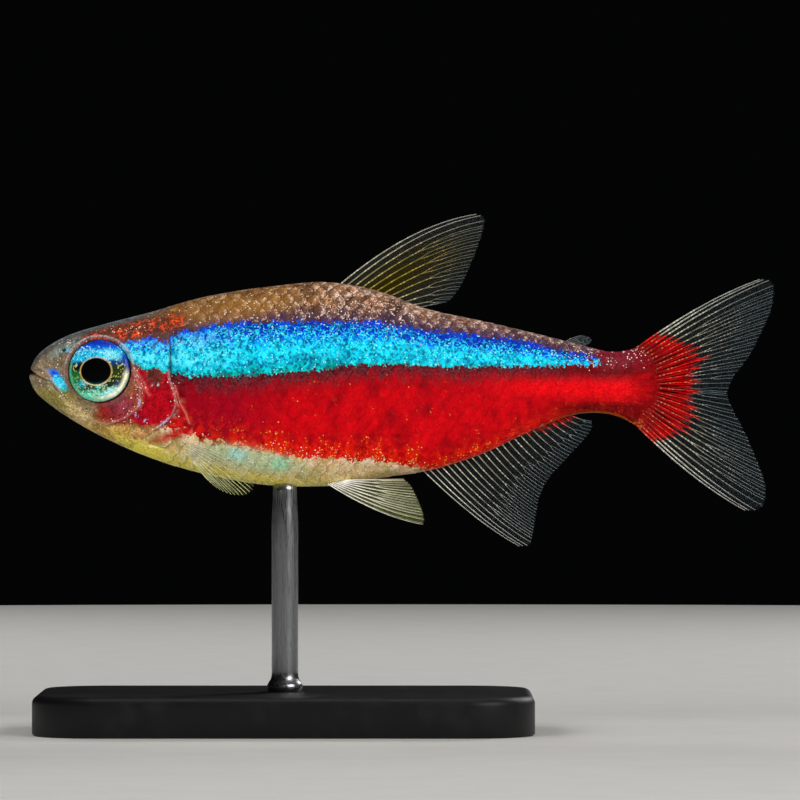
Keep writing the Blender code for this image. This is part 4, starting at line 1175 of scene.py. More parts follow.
def iris_paint(u, v):
    """Colour of the eye at u towards the tail and v upwards, in shares of its radius.

    Blue over cyan at the top with a painted highlight at its rear, dark olive with gold at the
    sides, green and teal below, a painted reflection as a pale crescent at the lower rear rim,
    painted shade round the edge, a gold ring and a black pupil.
    """
    rng = np.random.default_rng(SEED + 9)
    spot = functools.partial(oval, u, v)
    far = np.hypot(u, v)
    tone = np.zeros((len(u), 4))
    tone[:, 3] = 1
    rough = rng.normal(0, 0.04, len(u))
    spots = rng.random((2 * EYE_FLECKS + 3, 2 * EYE_FLECKS + 3))
    column = ((u + 0.03 * np.sin(23 * v)) * EYE_FLECKS + EYE_FLECKS + 1.5).astype(int)
    row = ((v + 0.03 * np.sin(21 * u)) * EYE_FLECKS + EYE_FLECKS + 1.5).astype(int)
    flecks = spots[column, row]
    above, under = v > 0.2 + rough, v < -0.42 + rough
    lower_rear = smooth((u - v - 0.55) / 0.5) * smooth((0.16 - v) / 0.3)
    pupil = np.hypot((u - PUPIL_AT[0]) / PUPIL_SIZE[0], (v - PUPIL_AT[1]) / PUPIL_SIZE[1])
    ring = bell(pupil - 1 - PUPIL_RING, PUPIL_RING * 0.8)
    wash(tone, [
        (np.ones(len(u)), "18301E"),
        (smooth((v - 0.2 + rough) / 0.16), "08A8D8"),
        (spot((0.06, 0.56), (0.7, 0.2), 0, 0.5), "2CD2EE"),
        (smooth((v - 0.6 + rough) / 0.16), "0A50D0"),
        (smooth((v - 0.78 + rough) / 0.12), "0C289A"),
        # Painted highlight at the upper rear.
        (spot((0.46, 0.46), (0.34, 0.16), -28, 0.5), "7CECFA"),
        (spot((0.5, 0.24), (0.2, 0.1), -10, 0.5), "083C74"),
        (spot((0.86, 0.28), (0.1, 0.3), 14, 0.5), "1236A8"),
        (spot((-0.76, 0.14), (0.24, 0.12), 0, 0.5), "040C08"),
        (spot((-0.72, 0.42), (0.2, 0.12), 30, 0.6), "22C0DC"),
        (spot((-0.72, -0.42), (0.26, 0.34), 30, 0.6), "1C8A46"),
        (spot((-0.16, -0.78), (0.7, 0.15), 6, 0.6), "62DCBC"),
        (spot((-0.52, -0.42), (0.13, 0.1), 0, 0.5), "1CB4D6"),
        (spot((0.16, -0.58), (0.2, 0.1), 0, 0.5), "2E7A3A"),
        (spot((0.02, -0.52), (0.1, 0.07), 0, 0.5), "3CD0C8"),
        (spot((0.68, -0.02), (0.24, 0.36), 0, 0.5), "243A1E"),
        (spot((0.7, -0.48), (0.17, 0.12), -38, 0.5), "3C4A70"),
        (spot((0.42, -0.68), (0.3, 0.12), 24, 0.5), "9CF4F4"),
        ((flecks > 0.89) * ~above * (far < 0.93) * 0.85, "D0C060"),
        ((flecks < 0.3) * ~above * (far < 0.9) * 0.5, "06140C"),
        ((flecks > 0.9) * above * (v < 0.8) * 0.8, "D8FAFF"),
        ((flecks < 0.22) * above * 0.7, "0640B4"),
        ((flecks > 0.76) * under * 0.5, "D8FFEC"),
        # Painted reflection: a pale crescent at the lower rear rim.
        (bell(far - 0.9, 0.07) * lower_rear, "FCFCDC"),
        (bell(far - 0.93, 0.05) * smooth((-u - v - 0.3) / 0.5) * 0.7, "5CC89C"),
        # Painted shade round the edge of the eyeball.
        (smooth((far - 0.972) / 0.028), "0C1614"),
        (ring * 0.95, "D0A860"),
        (ring * smooth((-v - 0.2) / 0.2) * 0.7, "F4E8B4"),
        (smooth((1.03 - pupil) / 0.05), "010101"),
        (bell(pupil - 0.92, 0.05) * smooth((-v - 0.2) / 0.3) * 0.5, "0A5560"),
    ])
    return tone


def eye_material():
    """Wet eye: a clear glossy cornea, the coat, over a dull glittering iris."""
    material, add, mm = new_material("wet eye under clear cornea")
    paint = add("Attribute", attribute_name="paint")
    cells = add("TexVoronoi", {"Vector": mm, "Scale": 9.0})
    dim = add(RANGE, cells.outputs["Color"], 0.0, 1.0, 0.72, 1.25)
    finish = {"Base Color": add(SHADE, 1.0, paint, dim), "Roughness": 0.45, "IOR": 1.38}
    finish |= {"Specular IOR Level": 0.15, "Coat Weight": 0.22, "Coat Roughness": 0.03}
    add("OutputMaterial", add("BsdfPrincipled", finish | {"Coat IOR": 1.376}))
    return material


def fan(hub, ring):
    """Faces from one point to each pair of neighbours on a ring."""
    return np.stack([np.full(len(ring), hub), ring, np.roll(ring, -1)], axis=1)


def build_eyes(context):
    """Eyeballs: rings from the middle of the cornea over the edge to a deep closed back."""
    material = eye_material()
    around = np.linspace(0, 2 * math.pi, EYE_SECTORS, endpoint=False)
    fall = np.linspace(0, 1, EYE_RINGS + 1)[1:]
    front = np.sin(fall * math.pi / 2)
    back = np.cos(np.linspace(0, 1, EYE_BACK_RINGS)[1:-1] * math.pi / 2)
    radius = np.concatenate([front, back])
    lift = np.concatenate([np.sqrt(1 - front**2) * EYE_DOME, -np.sqrt(1 - back**2) * EYE_DEPTH])
    r, turn = np.meshgrid(radius, around, indexing="ij")
    rise = np.broadcast_to(lift[:, None], r.shape)
    u, v = (r * np.cos(turn)).ravel(), (r * np.sin(turn)).ravel()
    local = np.stack([u * EYE_RADIUS, rise.ravel(), v * EYE_RADIUS], axis=1)
    local = np.concatenate([local, [(0.0, EYE_DOME, 0.0), (0.0, -EYE_DEPTH, 0.0)]])
    rows = len(radius)
    ring = np.arange(EYE_SECTORS)
    closing = fan(rows * EYE_SECTORS + 1, ring + (rows - 1) * EYE_SECTORS)[:, [0, 2, 1]]
    faces = [grid_faces(rows, EYE_SECTORS, wrap=True), fan(rows * EYE_SECTORS, ring), closing]
    paint = {"paint": iris_paint(np.append(u, (0, 0)), np.append(v, (0, 0)))}
    for name, side in (("eye_left", -1), ("eye_right", 1)):
        turns = (side * EYE_YAW, side * EYE_PITCH)
        (cos_yaw, sin_yaw), (cos_nod, sin_nod) = ((math.cos(t), math.sin(t)) for t in turns)
        yaw = np.array([(cos_yaw, -sin_yaw, 0), (sin_yaw, cos_yaw, 0), (0, 0, 1)])
        nod = np.array([(1, 0, 0), (0, cos_nod, -sin_nod), (0, sin_nod, cos_nod)])
        turned = (local * (1, side, 1)) @ (yaw @ nod).T
        centre = place(np.array([(EYE_X, side * EYE_SIDE / UNIT, EYE_Z)]))[0]
        sided = faces if side < 0 else [f[:, ::-1] for f in faces]
        points = turned * MM + centre
        new_piece(name + "_ball", points, sided, material, "eye", paint, stands_for=[name])


def along_line(points, share):
    """Points at shares of the length of a line through places, smoothed between them."""
    points = np.asarray(points, float)
    knots = np.arange(len(points))
    line = spline(np.linspace(0, len(points) - 1, CURVE_STEPS * len(points)), knots, points)
    steps = np.linalg.norm(np.diff(line, axis=0), axis=1)
    far = np.concatenate([[0], np.cumsum(steps)])
    share = np.asarray(share, float)
    found = [np.interp(share * far[-1], far, line[:, k]) for k in range(line.shape[1])]
    return np.stack(found, axis=-1)


def mid_root(fin, share):
    """Foot of a ray of a fin on the back or belly, a little inside the flesh."""
    first, last = fin["base"]
    x = first + share * (last - first)
    edge = outline(x)[0 if fin["side"] > 0 else 1]
    return np.stack([x, edge - fin["side"] * ROOT_DEPTH / UNIT], axis=-1)


def caudal_root(fin, share):
    """Foot of a ray of the tail fin, along the rear edge of the stalk and inside it."""
    level = fin["side"] * (1 - share) * CAUDAL_SPREAD
    foot = FLESH_END + TAIL_BULGE * (1 - level**2) - CAUDAL_DEPTH
    back, belly, _ = outline(np.minimum(foot, FLESH_END))
    height = belly + (level + 1) / 2 * (back - belly)
    return np.stack([foot, height * CAUDAL_LEVEL], axis=-1)


def fin_places(fin, root, share, t):
    """Places on a fin: a ray is a curve from its foot to its tip, drawn aside by the bow.

    The tips crowd towards the first ray by the power pack.
    """
    start, end = root(fin, share), along_line(fin["tips"], share ** fin["pack"])
    chord = end - start
    normal = np.stack([-chord[..., 1], chord[..., 0]], axis=-1)
    bow = fin["bows"][0] + (fin["bows"][1] - fin["bows"][0]) * share
    middle = start + RAY_BEND_AT * chord + normal * (bow * 2)[..., None]
    t = t[..., None]
    return (1 - t) ** 2 * start + 2 * t * (1 - t) * middle + t**2 * end


def no_lean(fin, flat, share, t):
    """A fin on the middle of the body stands straight."""
    return np.zeros(flat.shape[:-1])


def pelvic_lean(fin, flat, share, t):
    """The pelvic fin leans out evenly from beside the keel to its edge."""
    near, far = fin["lean"]
    return (near + (far - near) * t) / UNIT


def pectoral_lean(fin, flat, share, t):
    """The pectoral fin comes out of the skin at its foot and flares away from it."""
    foot = along_line(fin["root"], share)
    skin = side_at(foot[..., 0], foot[..., 1])
    clear, flare = fin["flare"]
    rise = (clear + PECTORAL_SINK) * smooth(t / PECTORAL_CLEAR)
    return skin + (-PECTORAL_SINK + rise + flare * t) / UNIT


def fin_points(fin, root, lean, share, t):
    """Places of a fin in three dimensions, in percent."""
    share, t = np.broadcast_arrays(share, t)
    flat = fin_places(fin, root, share, t)
    side = lean(fin, flat, share, t)
    return np.stack([flat[..., 0], side, flat[..., 1]], axis=-1)


def unit(vectors):
    """The vectors at length one."""
    return vectors / np.maximum(np.linalg.norm(vectors, axis=-1, keepdims=True), 1e-12)


def fin_marks(places, share, t, fin):
    """Values that the fins' materials read: along and across the fin, and the red at its foot."""
    x, z = places[..., 0], places[..., 2]
    limit = np.interp(z, CAUDAL_RED[::-1, 1], CAUDAL_RED[::-1, 0])
    gap = share * (fin["rays"] - 1)
    ray = np.floor(gap + 0.5)
    uneven = np.sin(ray * 12.9 + np.sin(ray * 4.1)) * 0.5 + 0.5
    teeth = (1 - 2 * np.abs((gap + 0.5) % 1 - 0.5)) * (0.5 + 1.9 * uneven)
    if "base" not in fin and "root" not in fin:
        red = (limit - x + 1.1 * teeth - 1.0) * UNIT
    elif fin is ANAL:
        red = (x - 66.0) * UNIT * 0.25 - 3.6 * t + 0.25 * teeth
    else:
        red = np.full(x.shape, -1.0)
    return np.stack(np.broadcast_arrays(t, share, red), axis=-1).reshape(-1, 3)


def ray_tubes(fin, root, lean, growth, twigs, rng):
    """The bony rays of a fin as thin tapering tubes.

    Each ray runs up to its first fork, splits into two, then one or both of these split again,
    and the ends share out the fin's edge evenly. The first few stay whole.
    """
    count = fin["rays"]
    gap = 1 / (count - 1)
    base = np.linspace(0, 1, count)
    thick, thin = (r * growth for r in fin["radius"])
    twigs = min(twigs, fin.get("twigs", 4))
    forks = fin["forks"] if twigs > 1 else ()
    inner = np.arange(count) >= (fin["plain"] if forks else count)
    one, two = forks or (1.0, 1.0)
    first = np.where(inner, one + rng.uniform(-FORK_WANDER, FORK_WANDER, count), 1.0)
    later = np.minimum(two + rng.uniform(-TWIG_WANDER, TWIG_WANDER, count), 1.0)
    second = np.where(inner, later, 1.0)
    # Each part: ray, where it starts and stops, its side of the two forks, where these are, its
    # thickness and whether it goes on into thinner ones.
    parts = [(base, base * 0, first, base * 0, base * 0, first, second, thick, inner)]
    pick = np.flatnonzero(inner)
    ones = np.ones(len(pick))
    for sign in (-1, 1) if forks else ():
        split = twigs > (2 if sign < 0 else 3)
        stop = second[pick] if split or twigs <= 2 else ones
        halves = (base[pick], first[pick], stop, sign * ones, 0 * ones)
        parts.append(halves + (first[pick], second[pick], thick * HALF_THICK, ones * split > 0))
        for twig in (-1, 1) if split else ():
            later = np.clip(second[pick] - rng.uniform(0, TWIG_LEAD, len(pick)), 0, 0.92)
            ends = (base[pick], later, ones, sign * ones, twig * ones)
            parts.append(ends + (first[pick], later, thick * TWIG_THICK, ones < 0))
    found = []
    step = np.linspace(0, 1, RAY_STEPS)[None, :]
    for *places, radius, goes_on in parts:
        at, start, stop, sign, twig, one, two = (np.asarray(v, float)[:, None] for v in places)
        t = RAY_END * (start + (stop - start) * step)
        spread = sign * HALF_ASIDE * smooth((t - one) / FORK_RUN)
        spread = spread + twig * TWIG_ASIDE * smooth((t - two) / FORK_RUN)
        share = np.clip(at + gap * spread, 0, 1)
        ends = np.where(goes_on[:, None], np.maximum(radius * TAPER, thin), thin)
        line = fin_points(fin, root, lean, share, t)
        found.append((line, radius + (ends - radius) * step, share, t))
    return [np.concatenate(values) for values in zip(*found, strict=True)]


def tube_mesh(line, radius, out):
    """Closed tubes along lines: rings of points lined up with out, capped at both ends."""
    count, steps = radius.shape
    ahead = unit(np.gradient(line, axis=1))
    across = unit(np.cross(ahead, out))[:, :, None]
    upright = np.cross(across, ahead[:, :, None])
    angle = np.linspace(0, 2 * math.pi, RAY_SIDES, endpoint=False)[:, None]
    ring = across * np.cos(angle) + upright * np.sin(angle)
    points = line[:, :, None] + ring * (radius / UNIT)[:, :, None, None]
    each = steps * RAY_SIDES
    shift = (np.arange(count) * each)[:, None, None]
    walls = (grid_faces(steps, RAY_SIDES, wrap=True)[None] + shift).reshape(-1, 4)
    caps = np.stack([np.arange(RAY_SIDES), each - 1 - np.arange(RAY_SIDES)])
    caps = (caps[None] + shift).reshape(-1, RAY_SIDES)
    return points.reshape(-1, 3), [walls, caps]


def web_mesh(fin, root, lean, thickness, rng):
    """The clear web of a fin: two sheets a little apart, sagging between the rays, closed round."""
    columns = (fin["rays"] - 1) * WEB_COLUMNS + 1
    share = np.linspace(0, 1, columns)[:, None]
    between = np.abs(np.sin(share * (fin["rays"] - 1) * math.pi))
    ends = 1 - WEB_NOTCH * between - WEB_RAGGED * rng.random((columns, 1))
    t = np.linspace(0, 1, WEB_ROWS)[None, :] * ends
    middle = fin_points(fin, root, lean, share, t)
    out = unit(np.cross(np.gradient(middle, axis=0), np.gradient(middle, axis=1)))
    sag = WEB_SAG * between * np.sin(share * (fin["rays"] - 1) * 2.1) * smooth(t / 0.3)
    half = thickness / 2 * (1 - WEB_THINNING * t)
    sheets = [middle + out * ((sag + sign * half) / UNIT)[..., None] for sign in (1, -1)]
    total = columns * WEB_ROWS
    grid = np.arange(total).reshape(columns, WEB_ROWS)
    upper = grid_faces(columns, WEB_ROWS)
    lower = upper[:, ::-1] + total
    rim = np.concatenate([grid[:-1, 0], grid[-1, :-1], grid[:0:-1, -1], grid[0, :0:-1]])
    skirt = np.stack([rim, np.roll(rim, -1), np.roll(rim, -1) + total, rim + total], axis=1)
    points = np.concatenate([s.reshape(-1, 3) for s in sheets])
    share, t = np.broadcast_arrays(share, t)
    return points, [upper, lower, skirt[:, ::-1]], middle, share, t


def ray_material(name, alpha, root_tint, tip_tint):
    """Fin rays: jointed bone in thin skin, dull along their length with a glint at each joint."""
    _, add, mm = new_material(name)
    along, across, red_by = add(SPLIT, add("Attribute", attribute_name="fin").outputs[1]).outputs
    warmth, run = (add("Attribute", attribute_name=key).outputs[2] for key in ("warm", "run"))
    grain = add(NOISE, {"Vector": mm, "Scale": 6.0, "Detail": 2.0})
    blotch = add(NOISE, {"Vector": mm, "Scale": 2.2, "Detail": 2.0})
    tone = add(MIX, add(RISE, along, 0.1, 0.7), root_tint, tip_tint)
    tone = add(MIX, add(TIMES, add(RISE, across, 0.3, 0.04), 0.5), tone, "D0CCBC")
    tone = add(MIX, warmth, tone, "8C7A14")
    tone = add(SHADE, 1.0, tone, add(RANGE, blotch, 0.3, 0.7, 0.75, 1.15))
    # Painted glints at the joints, fading out towards the tips.
    joint = add("Math.FRACT", add(TIMES, run, JOINTS_PER_MM))
    joint_glint = add(TIMES, add(RISE, joint, 0.6, 0.36), add(RISE, blotch, 0.46, 0.62))
    joint_glint = add(TIMES, joint_glint, add(RANGE, along, 0.3, 0.85, 0.7, 0.0))
    pale = add(MIX, warmth, "FCF8EC", "FFE080")
    pale = add(MIX, add(TIMES, warmth, add(RISE, along, 0.2, 0.5)), pale, "FFA838")
    tone = add(MIX, joint_glint, tone, pale)
    edge = add(RANGE, grain, 0.3, 0.7, -0.25, 0.25)
    is_red = add(RISE, add("Math.ADD", red_by, edge), -0.05, 0.3)
    fiery = add(MIX, add(RISE, grain, 0.4, 0.6), "A80204", "F4240C")
    fiery = add(MIX, add(TIMES, add(RISE, red_by, 1.7, 2.8), 0.85), fiery, "7E0206")
    tone = add(MIX, is_red, tone, add(MIX, add(TIMES, joint_glint, 0.5), fiery, "FFC890"))
    finish = {"Base Color": tone, "Roughness": 0.4, "IOR": 1.5, "Alpha": alpha}
    add("OutputMaterial", add("BsdfPrincipled", finish | {"Specular IOR Level": 0.3}))


def web_material(name, alpha, tint):
    """Fin web: thin wet skin that lets light through, dusky with fine dark grains."""
    _, add, mm = new_material(name)
    grain = add(NOISE, {"Vector": mm, "Scale": 9.0, "Detail": 3.0})
    tone = add(MIX, add(RISE, grain, 0.45, 0.62), tint, "24282A")
    warmth = add("Attribute", attribute_name="warm").outputs[2]
    tone = add(MIX, warmth, tone, "4C440E")
    alpha = add(RANGE, warmth, 0.0, 1.0, alpha, min(3 * alpha, 1.0))
    if name.startswith("tail"):
        marks = add("Attribute", attribute_name="fin").outputs[1]
        along, across, red_by = add(SPLIT, marks).outputs
        streak = add("CombineXYZ", add(TIMES, along, 3.0), add(TIMES, across, 60.0))
        streak = add(NOISE, {"Vector": streak, "Scale": 1.0, "Detail": 2.0})
        edge = add(RANGE, grain, 0.3, 0.7, -0.3, 0.3)
        is_red = add(RISE, add("Math.ADD", red_by, edge), -0.1, 0.35)
        fiery = add(MIX, add(RISE, streak, 0.38, 0.62), "1E0001", "B40206")
        fiery = add(MIX, add(TIMES, add(RISE, red_by, 1.7, 2.7), 0.9), fiery, "740205")
        tone = add(MIX, is_red, tone, fiery)
        alpha = add(RANGE, {0: is_red, 3: alpha, 4: 0.92})
    finish = {"Base Color": tone, "Roughness": 0.3, "IOR": 1.38, "Alpha": alpha}
    add("OutputMaterial", add("BsdfPrincipled", finish | {"Specular IOR Level": 0.15}))


def build_fin(context, name, lobes, lean, finish, warm, side=1):
    """The web and the rays of one fin, with a root for each of its lobes."""
    sizes = context.scene.tetra_sizes
    rng = np.random.default_rng(SEED + len(name))
    built = {"web": [], "rays": []}

    def heat(marks):
        """Gold along the rays of the front and middle of the fin, from the foot on."""
        return warm * bell(marks[:, 1] - 0.46, 0.36) * np.clip(1.3 - 1.15 * marks[:, 0], 0, 1)

    for fin, root in lobes:
        points, faces, middle, share, t = web_mesh(fin, root, lean, sizes.web / MM, rng)
        marks = np.tile(fin_marks(middle, share, t, fin), (2, 1))
        built["web"].append((points, faces, {"fin": marks, "warm": heat(marks)}))
        line, radius, share, t = ray_tubes(fin, root, lean, sizes.ray_growth, sizes.twigs, rng)
        out = fin_points(fin, root, lean, np.array([0.2, 0.8, 0.5]), np.array([0.5, 0.5, 0.9]))
        out = unit(np.cross(out[1] - out[0], out[2] - out[0]))
        points, faces = tube_mesh(line, radius, np.broadcast_to(out, line.shape))
        marks = np.repeat(fin_marks(line, share, t, fin), RAY_SIDES, axis=0)
        foot = root(fin, share)
        run = np.hypot(line[..., 0] - foot[..., 0], line[..., 2] - foot[..., 1]) * UNIT
        run = np.repeat((run + share * JOINT_SHIFT).ravel(), RAY_SIDES)
        built["rays"].append((points, faces, {"fin": marks, "warm": heat(marks), "run": run}))
    stands_for = [f"{name}_{end}" for end in ("upper", "lower")] if len(lobes) > 1 else [name]
    for (kind, done), material in zip(built.items(), finish, strict=True):
        points, faces, marks = zip(*done, strict=True)
        starts = np.cumsum([0] + [len(p) for p in points[:-1]])
        faces = [
            np.concatenate([f + at for f, at in zip(same, starts, strict=True)])
            for same in zip(*faces, strict=True)
        ]
        marks = {key: np.concatenate([m[key] for m in marks]) for key in marks[0]}
        points = np.concatenate(points)
        points[:, 1] *= side
        title, look = f"{name}_{kind}", bpy.data.materials[material]
        piece = new_piece(title, place(points), faces, look, "fin", marks, stands_for=stands_for)
        face_outwards(piece)


def build_fins(context):
    """All the fins, each with a clear web and branching rays."""
    tints = context.scene.tetra_colours
    jointed, milky, soft = "jointed fin ray", "pale jointed fin ray", "fine soft fin ray"
    ray_material(jointed, 1.0, "8C866A", tints.ray)
    ray_material(milky, 1.0, "FFFAF0", "E8E4C4")
    ray_material(soft, 0.85, "D8DCC0", "DCE09C")
    for name, alpha, tint in (
        ("clear fin web", 0.06, tints.web),
        ("tail fin web", 0.06, tints.web),
        ("olive fin web", 0.24, "707838"),
        ("pale fin web", 0.16, "6E787C"),
        ("clear side fin web", 0.03, "9CA060"),
    ):
        web_material(name, alpha, tint)
    tail = [(CAUDAL_UPPER, caudal_root), (CAUDAL_LOWER, caudal_root)]
    for name, lobes, web, warm in (
        ("dorsal_fin", [(DORSAL, mid_root)], "clear fin web", 1.0),
        ("adipose_fin", [(ADIPOSE, mid_root)], "pale fin web", 0),
        ("anal_fin", [(ANAL, mid_root)], "tail fin web", 0.12),
        ("caudal_fin", tail, "tail fin web", 0.12),
    ):
        build_fin(context, name, lobes, no_lean, (web, jointed), warm)

    def paired_root(fin, share):
        """Foot of a ray of a paired fin, along the line of its base."""
        return along_line(fin["root"], share)

    for name, side in (("left", -1), ("right", 1)):
        for kind, fin, lean, finish in (
            ("pelvic", PELVIC, pelvic_lean, ("olive fin web", milky)),
            ("pectoral", PECTORAL, pectoral_lean, ("clear side fin web", soft)),
        ):
            title = f"{kind}_fin_{name}"
            build_fin(context, title, [(fin, paired_root)], lean, finish, 0.0, side)


def stand_piece(node_name, name, points, material):
    """A closed piece of the stand in place of a node, from rings of points in millimetres."""
    rows, columns = points.shape[:2]
    ring = np.arange(columns)[None]
    faces = [grid_faces(rows, columns, wrap=True), ring + (rows - 1) * columns, ring[:, ::-1]]
    points = points.reshape(-1, 3) * MM
    piece = new_piece(name, points, faces, material, node_name, flat=2, stands_for=[node_name])
    face_outwards(piece)


def stand_slab(material):
    """The stand's base, a rounded rectangle drawn up its side and in over an eased top edge.

    Each corner is a quarter circle round a fixed centre, and a ring's radius is the corner's
    less its inset, so that all rings keep the same centres.
    """
    low, high = (np.array(corner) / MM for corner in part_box("stand_base"))
    centre, half = (low + high) / 2, (high - low) / 2
    bend = np.linspace(0, math.pi / 2, SLAB_BEND)
    inset = np.concatenate([[SLAB_CHAMFER, 0.0], SLAB_EDGE * (1 - np.cos(bend))])
    rise = np.concatenate([[0.0, SLAB_CHAMFER], SLAB_EDGE * np.sin(bend)])
    wall = np.full(SLAB_BEND, 2 * half[2] - SLAB_EDGE)
    height = low[2] + rise + np.concatenate([[0.0, 0.0], wall])
    around = np.concatenate([bend + k * math.pi / 2 for k in range(4)])
    corner = np.repeat([(1, 1), (-1, 1), (-1, -1), (1, -1)], SLAB_BEND, axis=0)
    reach = (SLAB_CORNER - inset)[:, None, None]
    ring = corner * (half[:2] - SLAB_CORNER)
    ring = ring + reach * np.stack([np.cos(around), np.sin(around)], axis=1)
    tall = np.broadcast_to(height[:, None, None], (*ring.shape[:2], 1))
    points = np.concatenate([ring + centre[:2], tall], axis=2)
    stand_piece("stand_base", "stand_slab", points, material)


def stand_pin(material):
    """The stand's rod: circles up a line, wider at the foot by a bell, slimmer at the belly."""
    low, high = (np.array(corner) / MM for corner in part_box("stand_rod"))
    rise = np.linspace(0, 1, PIN_RINGS) ** 1.6
    height = low[2] - PIN_REACH + rise * (high[2] - low[2] + 2 * PIN_REACH)
    radius = (high[0] - low[0]) / 2 * (1 - PIN_SLIM * smooth((height - high[2] + 2) / 2))
    radius = radius + PIN_FOOT * bell(height - low[2], PIN_SWELL)
    turn = np.linspace(0, 2 * math.pi, PIN_SIDES, endpoint=False)
    r, angle = np.meshgrid(radius, turn, indexing="ij")
    x, y = (low + high)[:2] / 2
    tall = np.broadcast_to(height[:, None], r.shape)
    points = np.stack([x + r * np.cos(angle), y + r * np.sin(angle), tall], axis=-1)
    stand_piece("stand_rod", "stand_pin", points, material)


def build_stand(context):
    """The stand's base and rod with their finishes."""
    tints = context.scene.tetra_colours
    # Cast black acrylic with a satin face: deep black with a broad soft sheen and a faint
    # cloudiness.
    base, add, mm = new_material("satin black acrylic")
    cloud = add(NOISE, {"Vector": mm, "Scale": 0.6, "Detail": 5.0})
    dust = add(MIX, add(RISE, cloud, 0.5, 0.7), tints.acrylic, "141415")
    rough = add(RANGE, cloud, 0.3, 0.7, 0.46, 0.54)
    finish = {"Base Color": dust, "Roughness": rough, "IOR": 1.49, "Specular IOR Level": 0.3}
    add("OutputMaterial", add("BsdfPrincipled", finish))
    # Drawn stainless rod, brushed along its length: bright streaks that run up it.
    rod, add, mm = new_material("brushed stainless steel")
    drawn = add("Mapping", {0: mm, 3: (9.0, 9.0, 0.4)})
    line = add(NOISE, {"Vector": drawn, "Scale": 1.6, "Detail": 5.0})
    tone = add(MIX, line, "8E8F93", tints.steel)
    rough = add(RANGE, line, 0.3, 0.7, 0.2, 0.42)
    finish = {"Base Color": tone, "Roughness": rough, "Metallic": 1.0, "Anisotropic": 0.4}
    add("OutputMaterial", add("BsdfPrincipled", finish))
    stand_slab(base)
    stand_pin(rod)


def floor_material():
    """Matte painted board: pale warm grey with a faint grain."""
    material, add, mm = new_material("matte painted board")
    grain = add(NOISE, {"Vector": mm, "Scale": 0.25, "Detail": 4.0})
    finish = {"Base Color": add(MIX, grain, "B9B8B4", "C4C3BF"), "Roughness": 0.7}
    add("OutputMaterial", add("BsdfPrincipled", finish))
    return material


def build_stage(context):
    """A pale round floor, soft lights all round, a dark room and the camera."""
    fall = np.linspace(0, math.pi / 2, FLOOR_BEND)[1:]
    radius = np.linspace(0, FLOOR_RADIUS, FLOOR_RINGS + 1)[1:]
    radius = np.concatenate([radius, FLOOR_RADIUS + FLOOR_RIM * np.sin(fall)])
    height = np.concatenate([np.zeros(FLOOR_RINGS), -FLOOR_RIM * (1 - np.cos(fall))])
    turn = np.linspace(0, 2 * math.pi, FLOOR_SIDES, endpoint=False)
    r, angle = np.meshgrid(radius, turn, indexing="ij")
    tall = np.broadcast_to(height[:, None], r.shape)
    points = np.stack([r * np.cos(angle), r * np.sin(angle), tall], axis=-1).reshape(-1, 3)
    faces = [grid_faces(*r.shape, wrap=True), fan(len(points), np.arange(FLOOR_SIDES))]
    points = np.concatenate([points, [(0, 0, 0)]]) * MM
    new_piece("floor", points, faces, floor_material(), None)

    scene = context.scene
    world = bpy.data.worlds.new("dark room")
    world.use_nodes = True
    background = world.node_tree.nodes["Background"]
    background.inputs[0].default_value = linear("1E1F22")
    background.inputs[1].default_value = 0.1
    scene.world = world
    scene.view_settings.view_transform = "Standard"

    # Azimuth round the fish from the camera's side, height above it, distance, size, power, and
    # whether the light shows in gloss: those that don't keep the wet skin's colours clear.
    for name, azimuth, lift, away, size, power, glossy in (
        ("front_left", -42, 24, 0.26, 0.16, 0.37, False),
        ("front_right", 42, 24, 0.26, 0.1, 0.36, True),
        ("front_low", 0, -2, 0.4, 0.12, 0.18, False),
        ("back_left", -140, 26, 0.26, 0.16, 0.27, False),
        ("back_right", 140, 26, 0.26, 0.1, 0.27, True),
        ("top", 0, 88, 0.24, 0.16, 0.13, True),
    ):
        light = bpy.data.lights.new(name, "AREA")
        light.shape = "DISK"
        light.size = size
        light.energy = power
        lamp = bpy.data.objects.new(name, light)
        scene.collection.objects.link(lamp)
        across, up = math.radians(azimuth), math.radians(lift)
        reach = away * math.cos(up)
        level = AXIS_HEIGHT * MM + away * math.sin(up)
        lamp.location = (reach * math.sin(across), -reach * math.cos(across), level)
        lamp.rotation_euler = (math.pi / 2 - up, 0, across)
        lamp.visible_camera = False
        lamp.visible_glossy = glossy
    camera = bpy.data.cameras.new("camera")
    camera.lens = LENS
    camera.clip_start = 0.01
    eye = bpy.data.objects.new("camera", camera)
    eye.location = CAMERA_AT
    eye.rotation_euler = (math.pi / 2, 0, 0)
    scene.collection.objects.link(eye)
    scene.camera = eye


class TETRA_OT_skin(bpy.types.Operator):
    """Builds the skin of the whole body with its markings"""

    bl_idname = "tetra.skin"
    bl_label = "Skin"

    def execute(self, context):
        skin_material(context)
        build_skin(context)
        return {"FINISHED"}


class TETRA_OT_scales(bpy.types.Operator):
    """Builds the coats of overlapping scales on both sides"""

    bl_idname = "tetra.scales"
    bl_label = "Scales"

    def execute(self, context):
        if SKIN not in bpy.data.materials:
            raise RuntimeError("build the skin before the scales, for their shared material")
        build_scales(context)
        return {"FINISHED"}


class TETRA_OT_eyes(bpy.types.Operator):
    """Builds both eyes with iris and pupil"""

    bl_idname = "tetra.eyes"
    bl_label = "Eyes"

    def execute(self, context):
        build_eyes(context)
        return {"FINISHED"}


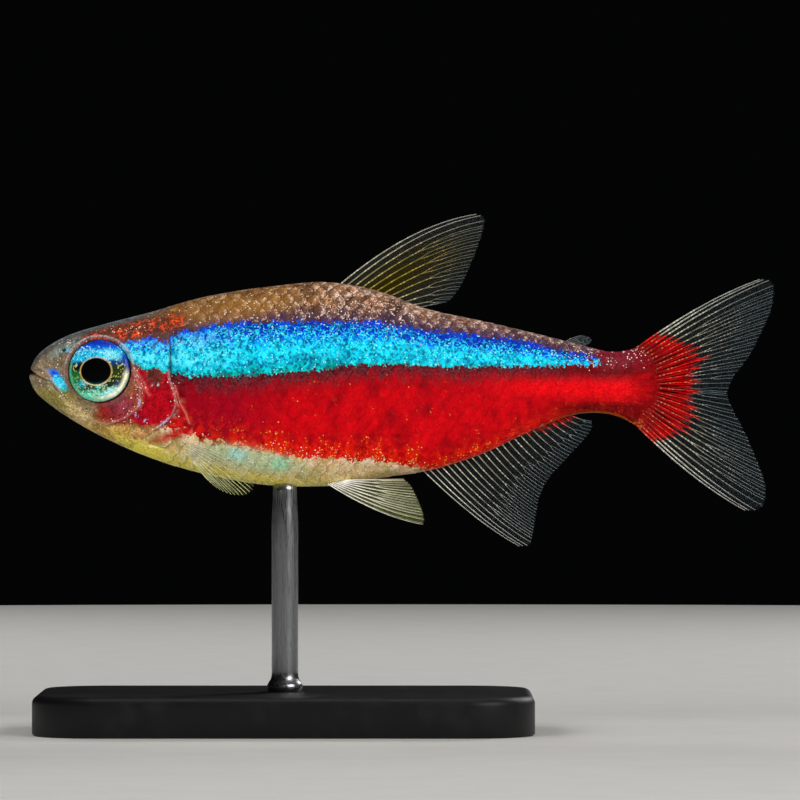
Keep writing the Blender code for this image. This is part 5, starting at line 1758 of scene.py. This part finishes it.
class TETRA_OT_fins(bpy.types.Operator):
    """Builds all the fins with clear webs and branching rays"""

    bl_idname = "tetra.fins"
    bl_label = "Fins"

    def execute(self, context):
        build_fins(context)
        return {"FINISHED"}


class TETRA_OT_stand(bpy.types.Operator):
    """Builds the stand: a flat base and a rod"""

    bl_idname = "tetra.stand"
    bl_label = "Stand"

    def execute(self, context):
        build_stand(context)
        return {"FINISHED"}


class TETRA_OT_stage(bpy.types.Operator):
    """Sets up the floor, the lights and the camera"""

    bl_idname = "tetra.stage"
    bl_label = "Stage"

    def execute(self, context):
        build_stage(context)
        return {"FINISHED"}


class TETRA_PT_model(bpy.types.Panel):
    """Lists the steps of the model with its sizes and colours"""

    bl_idname = "TETRA_PT_model"
    bl_label = "Cardinal tetra"
    bl_space_type = "VIEW_3D"
    bl_region_type = "UI"
    bl_category = "Tetra"

    def draw(self, context):
        for step in STEPS:
            self.layout.operator(step)
        for group in (context.scene.tetra_sizes, context.scene.tetra_colours):
            box = self.layout.box()
            for key in group.__annotations__:
                box.prop(group, key)


STEPS = ("tetra.skin", "tetra.scales", "tetra.eyes", "tetra.fins", "tetra.stand", "tetra.stage")
CLASSES = (
    TetraSizes,
    TetraColours,
    TETRA_OT_skin,
    TETRA_OT_scales,
    TETRA_OT_eyes,
    TETRA_OT_fins,
    TETRA_OT_stand,
    TETRA_OT_stage,
    TETRA_PT_model,
)


def register():
    """Adds the classes and the two groups of settings."""
    for made in CLASSES:
        bpy.utils.register_class(made)
    bpy.types.Scene.tetra_sizes = PointerProperty(type=TetraSizes)
    bpy.types.Scene.tetra_colours = PointerProperty(type=TetraColours)


def unregister():
    """Takes away what register adds."""
    del bpy.types.Scene.tetra_colours
    del bpy.types.Scene.tetra_sizes
    for made in reversed(CLASSES):
        bpy.utils.unregister_class(made)


def main():
    """Builds everything in order."""
    register()
    bpy.ops.tetra.skin()
    bpy.ops.tetra.scales()
    bpy.ops.tetra.eyes()
    bpy.ops.tetra.fins()
    bpy.ops.tetra.stand()
    bpy.ops.tetra.stage()


if __name__ == "__main__":
    main()
